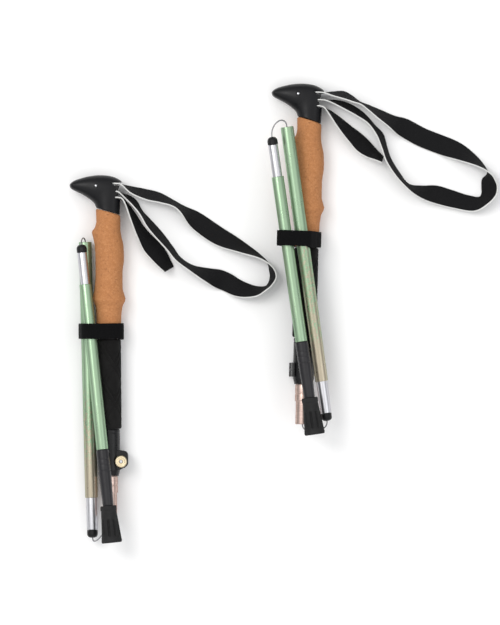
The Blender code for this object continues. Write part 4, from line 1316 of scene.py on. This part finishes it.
def pole(tag, handle, middle, lower, turn, lifts, loop, tail):
    handle_b, telescope_b, middle_b, lower_b = (f"{b}_{tag}" for b in ("handle", "telescope", "middle", "lower"))
    h, q, p = along(*handle), along(*middle), along(*lower)
    lock = h @ Matrix.Rotation(math.radians(turn), 4, "Z")

    # ---- head, strap and grips
    dress(grip_head(tag, h), "head_black", handle_b, [f"head_{tag}"])
    pin = lathe(
        f"anchor_pin_{tag}",
        [(0, -12.25), (0.45, -12.2), (0.95, -12.05), (PIN_R, -11.7), (PIN_R, 11.7), (0.95, 12.05), (0.45, 12.2), (0, 12.25)],
        across(h, *PIN_AT), steps=40, ease=0.1,
    )
    dress(pin, "steel", handle_b, [f"strap_pin_{tag}"])
    wedge = [
        (2.4, 7.8), (4.4, 7.8), (4.4, 10.6), (11.6, 10.6), (10.6, 14.6), (4.4, 14.6), (4.4, 18.2), (9.4, 18.2), (9.4, 21.0),
        (4.4, 21.0), (4.4, 23.8), (2.4, 23.8),
    ]
    wedge_ob = plate(f"anchor_wedge_{tag}", wedge, -10.3, 10.3, h, bevel=0.3)
    smooth_shade(wedge_ob.data, 38)
    dress(wedge_ob, "guide_black", handle_b, [f"strap_wedge_{tag}"])
    dress(cork_grip(tag, h), "cork", handle_b, [f"cork_grip_{tag}"])
    dress(foam_sleeve(tag, h), "foam_black", handle_b, [f"foam_sleeve_{tag}"])
    ob = lathe(f"outer_tube_{tag}", tube_profile(UPPER_R, UPPER_BORE, UPPER_TOP, UPPER_END), h, closed=True, steps=72)
    dress(ob, "tube_black", handle_b, [f"upper_tube_{tag}"])
    for kind, stations, node in (("strap_loop", loop, "wrist_strap"), ("strap_end", tail, "strap_tail")):
        ob, length = webbing(f"{kind}_{tag}", stations)
        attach(ob, handle_b)
        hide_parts(f"{node}_{tag}")
        print(f"{kind}_{tag}: webbing {length * 1000:.0f} mm long")

    # ---- lever lock
    dress(lock_clamp(tag, lock), "lock_black", handle_b, [f"lock_clamp_{tag}"])
    dress(lock_lever(tag, lock), "lock_black", f"lever_{tag}", [f"lock_lever_{tag}"])
    dress(eyebolt(tag, lock), "steel", handle_b, [f"lock_eyebolt_{tag}"])
    ob = lathe(
        f"hinge_pin_{tag}", [(0, 279.2), (0.85, 279.2), (1.1, 279.45), (1.1, 293.35), (0.85, 293.6), (0, 293.6)],
        shifted(lock, BOLT_X, CAM_Y), steps=32, ease=0.1,
    )
    dress(ob, "steel", handle_b, [f"lock_pin_{tag}"])
    dress(lock_nut(tag, lock), "brass", f"nut_{tag}", [f"lock_nut_{tag}"])

    # ---- telescoping tube
    ob = lathe(f"sliding_tube_{tag}", tube_profile(INNER_R, INNER_BORE, INNER_TOP, INNER_END), h, closed=True, steps=72)
    dress(ob, "rose_gold", telescope_b, [f"inner_tube_{tag}"])
    ob = lathe(
        f"guide_bush_{tag}",
        [
            (6.9, INNER_TOP - 8.3), (7.3, INNER_TOP - 7.6), (7.3, INNER_TOP - 5.4), (7.0, INNER_TOP - 5.0), (7.0, INNER_TOP - 3.6),
            (7.3, INNER_TOP - 3.2), (7.3, INNER_TOP - GAP), (INNER_BORE - GAP, INNER_TOP - GAP), (INNER_BORE - GAP, INNER_TOP + 9),
            (3.0, INNER_TOP + 9), (3.0, INNER_TOP - 8.3),
        ],
        h, closed=True, steps=64,
    )
    dress(ob, "guide_black", telescope_b, [f"inner_bush_{tag}"])
    ob = lathe(
        f"collar_{tag}",
        [
            (COLLAR_R - 0.4, COLLAR_START), (COLLAR_R, COLLAR_START + 0.4), (COLLAR_R, 309.6), (COLLAR_R - 0.4, 310.0),
            (COLLAR_R - 0.4, 310.6), (COLLAR_R, 311.0), (COLLAR_R, COLLAR_END - 0.6), (COLLAR_R - 0.5, COLLAR_END),
            (INNER_R + GAP, COLLAR_END), (INNER_R + GAP, COLLAR_START),
        ],
        h, closed=True, steps=72, ease=0.15,
    )
    dress(ob, "rose_gold", telescope_b, [f"tube_collar_{tag}"])

    # ---- middle shaft
    ob = lathe(f"middle_tube_{tag}", tube_profile(Q_R, Q_BORE, 0, Q_TUBE), q, closed=True, steps=72)
    dress(ob, f"middle_green_{tag}", middle_b, [f"middle_shaft_{tag}"])
    ob = lathe(
        f"middle_spigot_{tag}", tube_profile(Q_FERRULE_R, 3.6, Q_TUBE - 14, Q_TUBE + Q_FERRULE, 0.3), q, closed=True, steps=64, ease=0.15
    )
    dress(ob, "steel", middle_b, [f"middle_ferrule_{tag}"])
    s = Q_TUBE + Q_FERRULE + GAP
    ob = lathe(
        f"middle_nose_{tag}",
        [
            (3.3, s - 6), (3.3, s), (Q_FERRULE_R, s), (Q_FERRULE_R, s + 4.2), (5.15, s + 5.3), (4.6, s + 6.3), (3.7, s + CAP - 1.0),
            (2.0, s + CAP - GAP), (1.05, s + CAP - GAP), (1.05, s - 6),
        ],
        q, closed=True, steps=72, longest=0.6,
        move=lambda a, z, r: -0.22 * smoothstep(math.cos(a * 12), 0.2, 0.9) if r > 3.4 and z > s + 0.8 else 0.0,
    )
    dress(ob, "guide_black", middle_b, [f"middle_cap_{tag}"])

    # ---- lower shaft
    ob = lathe(
        f"lower_nose_{tag}",
        [
            (1.05, 0.0), (1.9, 0.0), (3.6, 0.75), (4.65, 2.1), (5.05, 3.3), (P_CAP_R, 4.4), (P_CAP_R, CAP - GAP),
            (3.0, CAP - GAP), (3.0, CAP + 6), (1.05, CAP + 6),
        ],
        p, closed=True, steps=72, longest=0.6,
        move=lambda a, z, r: -0.2 * smoothstep(math.cos(a * 12), 0.2, 0.9) if r > 3.2 and z < CAP - 0.9 else 0.0,
    )
    dress(ob, "guide_black", lower_b, [f"lower_cap_{tag}"])
    s = CAP + P_FERRULE
    ob = lathe(f"lower_spigot_{tag}", tube_profile(P_FERRULE_R, 3.4, CAP, s + 14, 0.3), p, closed=True, steps=64, ease=0.15)
    dress(ob, "steel", lower_b, [f"lower_ferrule_{tag}"])
    ob = lathe(f"lower_tube_{tag}", tube_profile(P_R, P_BORE, s, s + P_TUBE), p, closed=True, steps=72)
    dress(ob, "lower_green", lower_b, [f"lower_shaft_{tag}"])
    s += P_TUBE + GAP
    e = s + HOLDER
    ob = lathe(
        f"holder_{tag}",
        [
            (0, s - 12), (4.8, s - 12), (4.8, s), (6.1, s), (6.45, s + 0.5), (6.45, s + 9.0), (6.25, s + 9.3), (6.25, s + 9.9),
            (6.45, s + 10.2), (6.45, s + 14.0), (6.25, s + 14.3), (6.25, s + 14.9), (6.45, s + 15.2), (6.45, s + 20.0),
            (6.1, s + 20.4), (6.1, s + 21.2), (6.4, s + 21.6), (6.2, s + 30.0), (5.4, e - 0.4), (4.6, e + 0.8), (4.4, e + 21),
            (0, e + 22),
        ],
        p, steps=72, ease=0.2, longest=2.0,
    )
    dress(ob, "holder_black", lower_b, [f"tip_holder_{tag}"])
    ob = lathe(
        f"point_{tag}",
        [(0, e + 22.3), (1.9, e + 22.3), (1.9, e + 27.5), (1.4, e + 29.6), (0.7, e + 28.9), (0, e + 28.6)],
        p, steps=32, ease=0.12,
        move=lambda a, z, r: -0.15 * max(0.0, math.cos(8 * a)) if r > 1.0 else 0.0,
    )
    dress(ob, "carbide", lower_b, [f"carbide_tip_{tag}"])
    dress(boot(tag, p, e), "rubber", f"boot_{tag}", [f"rubber_boot_{tag}"])

    # ---- cables at the folds
    up = lambda m: m.to_3x3() @ Vector((0, 0, 1))
    a, b = local(h, 0, 0, INNER_END), local(q, 0, 0, Q_TUBE + Q_FERRULE + CAP)
    ob = wire(f"fold_wire_low_{tag}", bend(a, -up(h), b, -up(q), 12.0, 12.0), CABLE_R)
    dress(ob, "cable_grey", None, [f"lower_cable_{tag}"], ride=False)
    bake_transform(ob)
    a, b = local(q, 0, 0, 0), local(p, 0, 0, 0)
    ob = wire(f"fold_wire_high_{tag}", bend(a, up(q), b, up(p), *lifts), CABLE_R)
    dress(ob, "cable_grey", None, [f"upper_cable_{tag}"], ride=False)
    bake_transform(ob)

    # ---- band
    ob, round_ = band(tag, h, station_circles(h, q, p, 0.5))
    dress(ob, "hook_loop", handle_b, [f"band_{tag}"])
    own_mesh(ob)


LEFT = dict(
    handle=((107.6, 175.0, 15.6), (109.9, 516.0, 15.6)),
    middle=((84.9, 242.0, 9.6), (92.5, 538.0, 15.8)),
    lower=((81.4, 244.7, 24.2), (112.6, 543.7, 38.6)),
    turn=0.0,
    lifts=(7.0, 7.0),
    loop=[
        (113.6, 183.5, 113.6, 183.4, 5.6), (121.2, 184.7, 121.2, 184.5, 5.6), (131.0, 193.5, 131.8, 186.4, 3.0),
        (146.0, 200.0, 144.5, 188.7), (160.0, 203.0, 159.2, 192.4), (172.0, 206.2, 173.9, 200.3),
        (180.5, 213.0, 184.5, 206.1), (193.0, 230.0, 204.5, 215.5), (213.0, 244.0, 226.6, 230.3),
        (238.0, 252.4, 250.0, 246.4), (257.0, 257.6, 261.0, 255.4), (268.2, 263.2, 267.6, 262.4),
        (274.8, 270.0, 269.6, 270.6), (276.4, 277.6, 270.2, 277.2), (272.2, 285.0, 268.2, 283.6),
        (266.0, 290.4, 264.2, 286.6), (256.0, 296.6, 254.0, 285.6), (239.2, 297.6, 241.3, 280.3),
        (222.0, 291.6, 227.0, 271.5), (205.5, 282.4, 210.0, 268.4), (190.0, 271.5, 193.4, 265.5),
        (176.0, 261.0, 180.4, 257.5), (166.5, 249.5, 172.0, 246.0), (155.0, 237.0, 161.5, 232.0),
        (146.5, 226.5, 151.0, 220.4), (139.4, 214.0, 142.0, 210.8, 1.6), (132.0, 205.2, 136.4, 201.0, 1.8),
        (125.8, 199.0, 129.4, 195.6, 3.0), (121.6, 194.6, 122.2, 193.6, 4.8), (118.0, 191.8, 118.0, 191.7, 5.6),
        (113.4, 191.35, 113.4, 191.3, 5.6),
    ],
    tail=[
        (113.4, 197.45, 113.4, 197.4, 5.6), (118.4, 197.5, 118.4, 197.4, 5.6), (122.4, 199.0, 122.6, 198.7, 5.4),
        (126.0, 206.0, 128.2, 204.4, 4.0), (129.6, 217.1, 135.6, 214.4), (134.0, 229.7, 143.5, 226.6), (137.8, 239.2, 151.5, 235.2),
        (143.2, 250.8, 159.5, 243.0), (150.6, 259.6, 165.6, 250.8), (158.0, 267.0, 170.0, 259.8), (164.2, 272.4, 173.4, 266.6),
    ],
)
RIGHT = dict(
    handle=((310.1, 83.5, 12.9), (302.4, 424.4, 20.3)),
    middle=((286.9, 127.5, 40.6), (327.3, 423.5, 32.6)),
    lower=((271.8, 137.7, 44.0), (315.0, 436.7, 46.4)),
    turn=90.0,
    lifts=(14.0, 14.0),
    loop=[
        (315.6, 92.2, 315.6, 92.1, 3.3), (323.6, 92.7, 323.6, 92.5, 3.3), (333.0, 96.0, 333.9, 91.2, 2.4),
        (344.8, 99.4, 344.0, 90.8), (353.4, 102.2, 352.0, 95.0), (361.0, 104.6, 360.2, 101.2),
        (368.1, 110.0, 370.0, 105.0), (378.0, 118.6, 382.0, 109.9), (389.0, 127.4, 396.0, 115.6),
        (402.0, 137.6, 411.0, 119.9), (418.0, 146.6, 427.0, 128.0), (437.0, 154.0, 444.0, 134.8),
        (456.0, 159.8, 461.5, 142.9), (470.0, 164.0, 475.0, 153.6), (481.0, 168.0, 483.6, 163.4),
        (489.8, 173.0, 488.2, 172.6), (495.4, 179.2, 482.8, 178.8), (498.2, 186.6, 482.2, 186.8),
        (496.4, 195.6, 482.2, 193.2), (488.0, 204.4, 479.0, 196.8), (474.0, 211.6, 468.4, 194.8),
        (454.2, 208.6, 452.4, 189.6), (434.0, 203.6, 438.0, 185.4), (417.0, 196.4, 423.0, 185.4),
        (405.0, 186.4, 409.4, 183.8), (394.6, 174.6, 399.6, 172.0), (386.0, 160.8, 391.2, 158.0),
        (381.4, 147.6, 387.2, 146.2), (376.0, 134.6, 383.4, 133.6), (367.4, 123.0, 375.0, 124.6),
        (357.0, 116.2, 364.0, 112.4), (345.0, 109.6, 352.0, 104.4, 1.4), (335.0, 104.4, 340.0, 100.2, 2.0),
        (326.6, 100.6, 328.0, 99.6, 2.8), (320.6, 99.8, 320.6, 99.7, 3.3), (315.2, 99.55, 315.2, 99.5, 3.3),
    ],
    tail=[
        (315.0, 105.75, 315.0, 105.7, 3.4), (320.0, 106.0, 320.0, 105.9, 3.4), (324.4, 107.7, 324.7, 107.4, 3.2),
        (328.4, 113.2, 331.4, 110.8, 2.4), (333.6, 121.4, 340.4, 117.0), (340.4, 131.4, 351.0, 125.4), (348.6, 141.8, 360.0, 132.0),
        (356.8, 151.2, 367.0, 138.0), (366.2, 157.2, 373.4, 145.0), (374.4, 160.0, 378.6, 151.0), (381.6, 162.8, 384.0, 156.4),
    ],
)

for tag, lay in (("l", LEFT), ("r", RIGHT)):
    pole(tag, **lay)
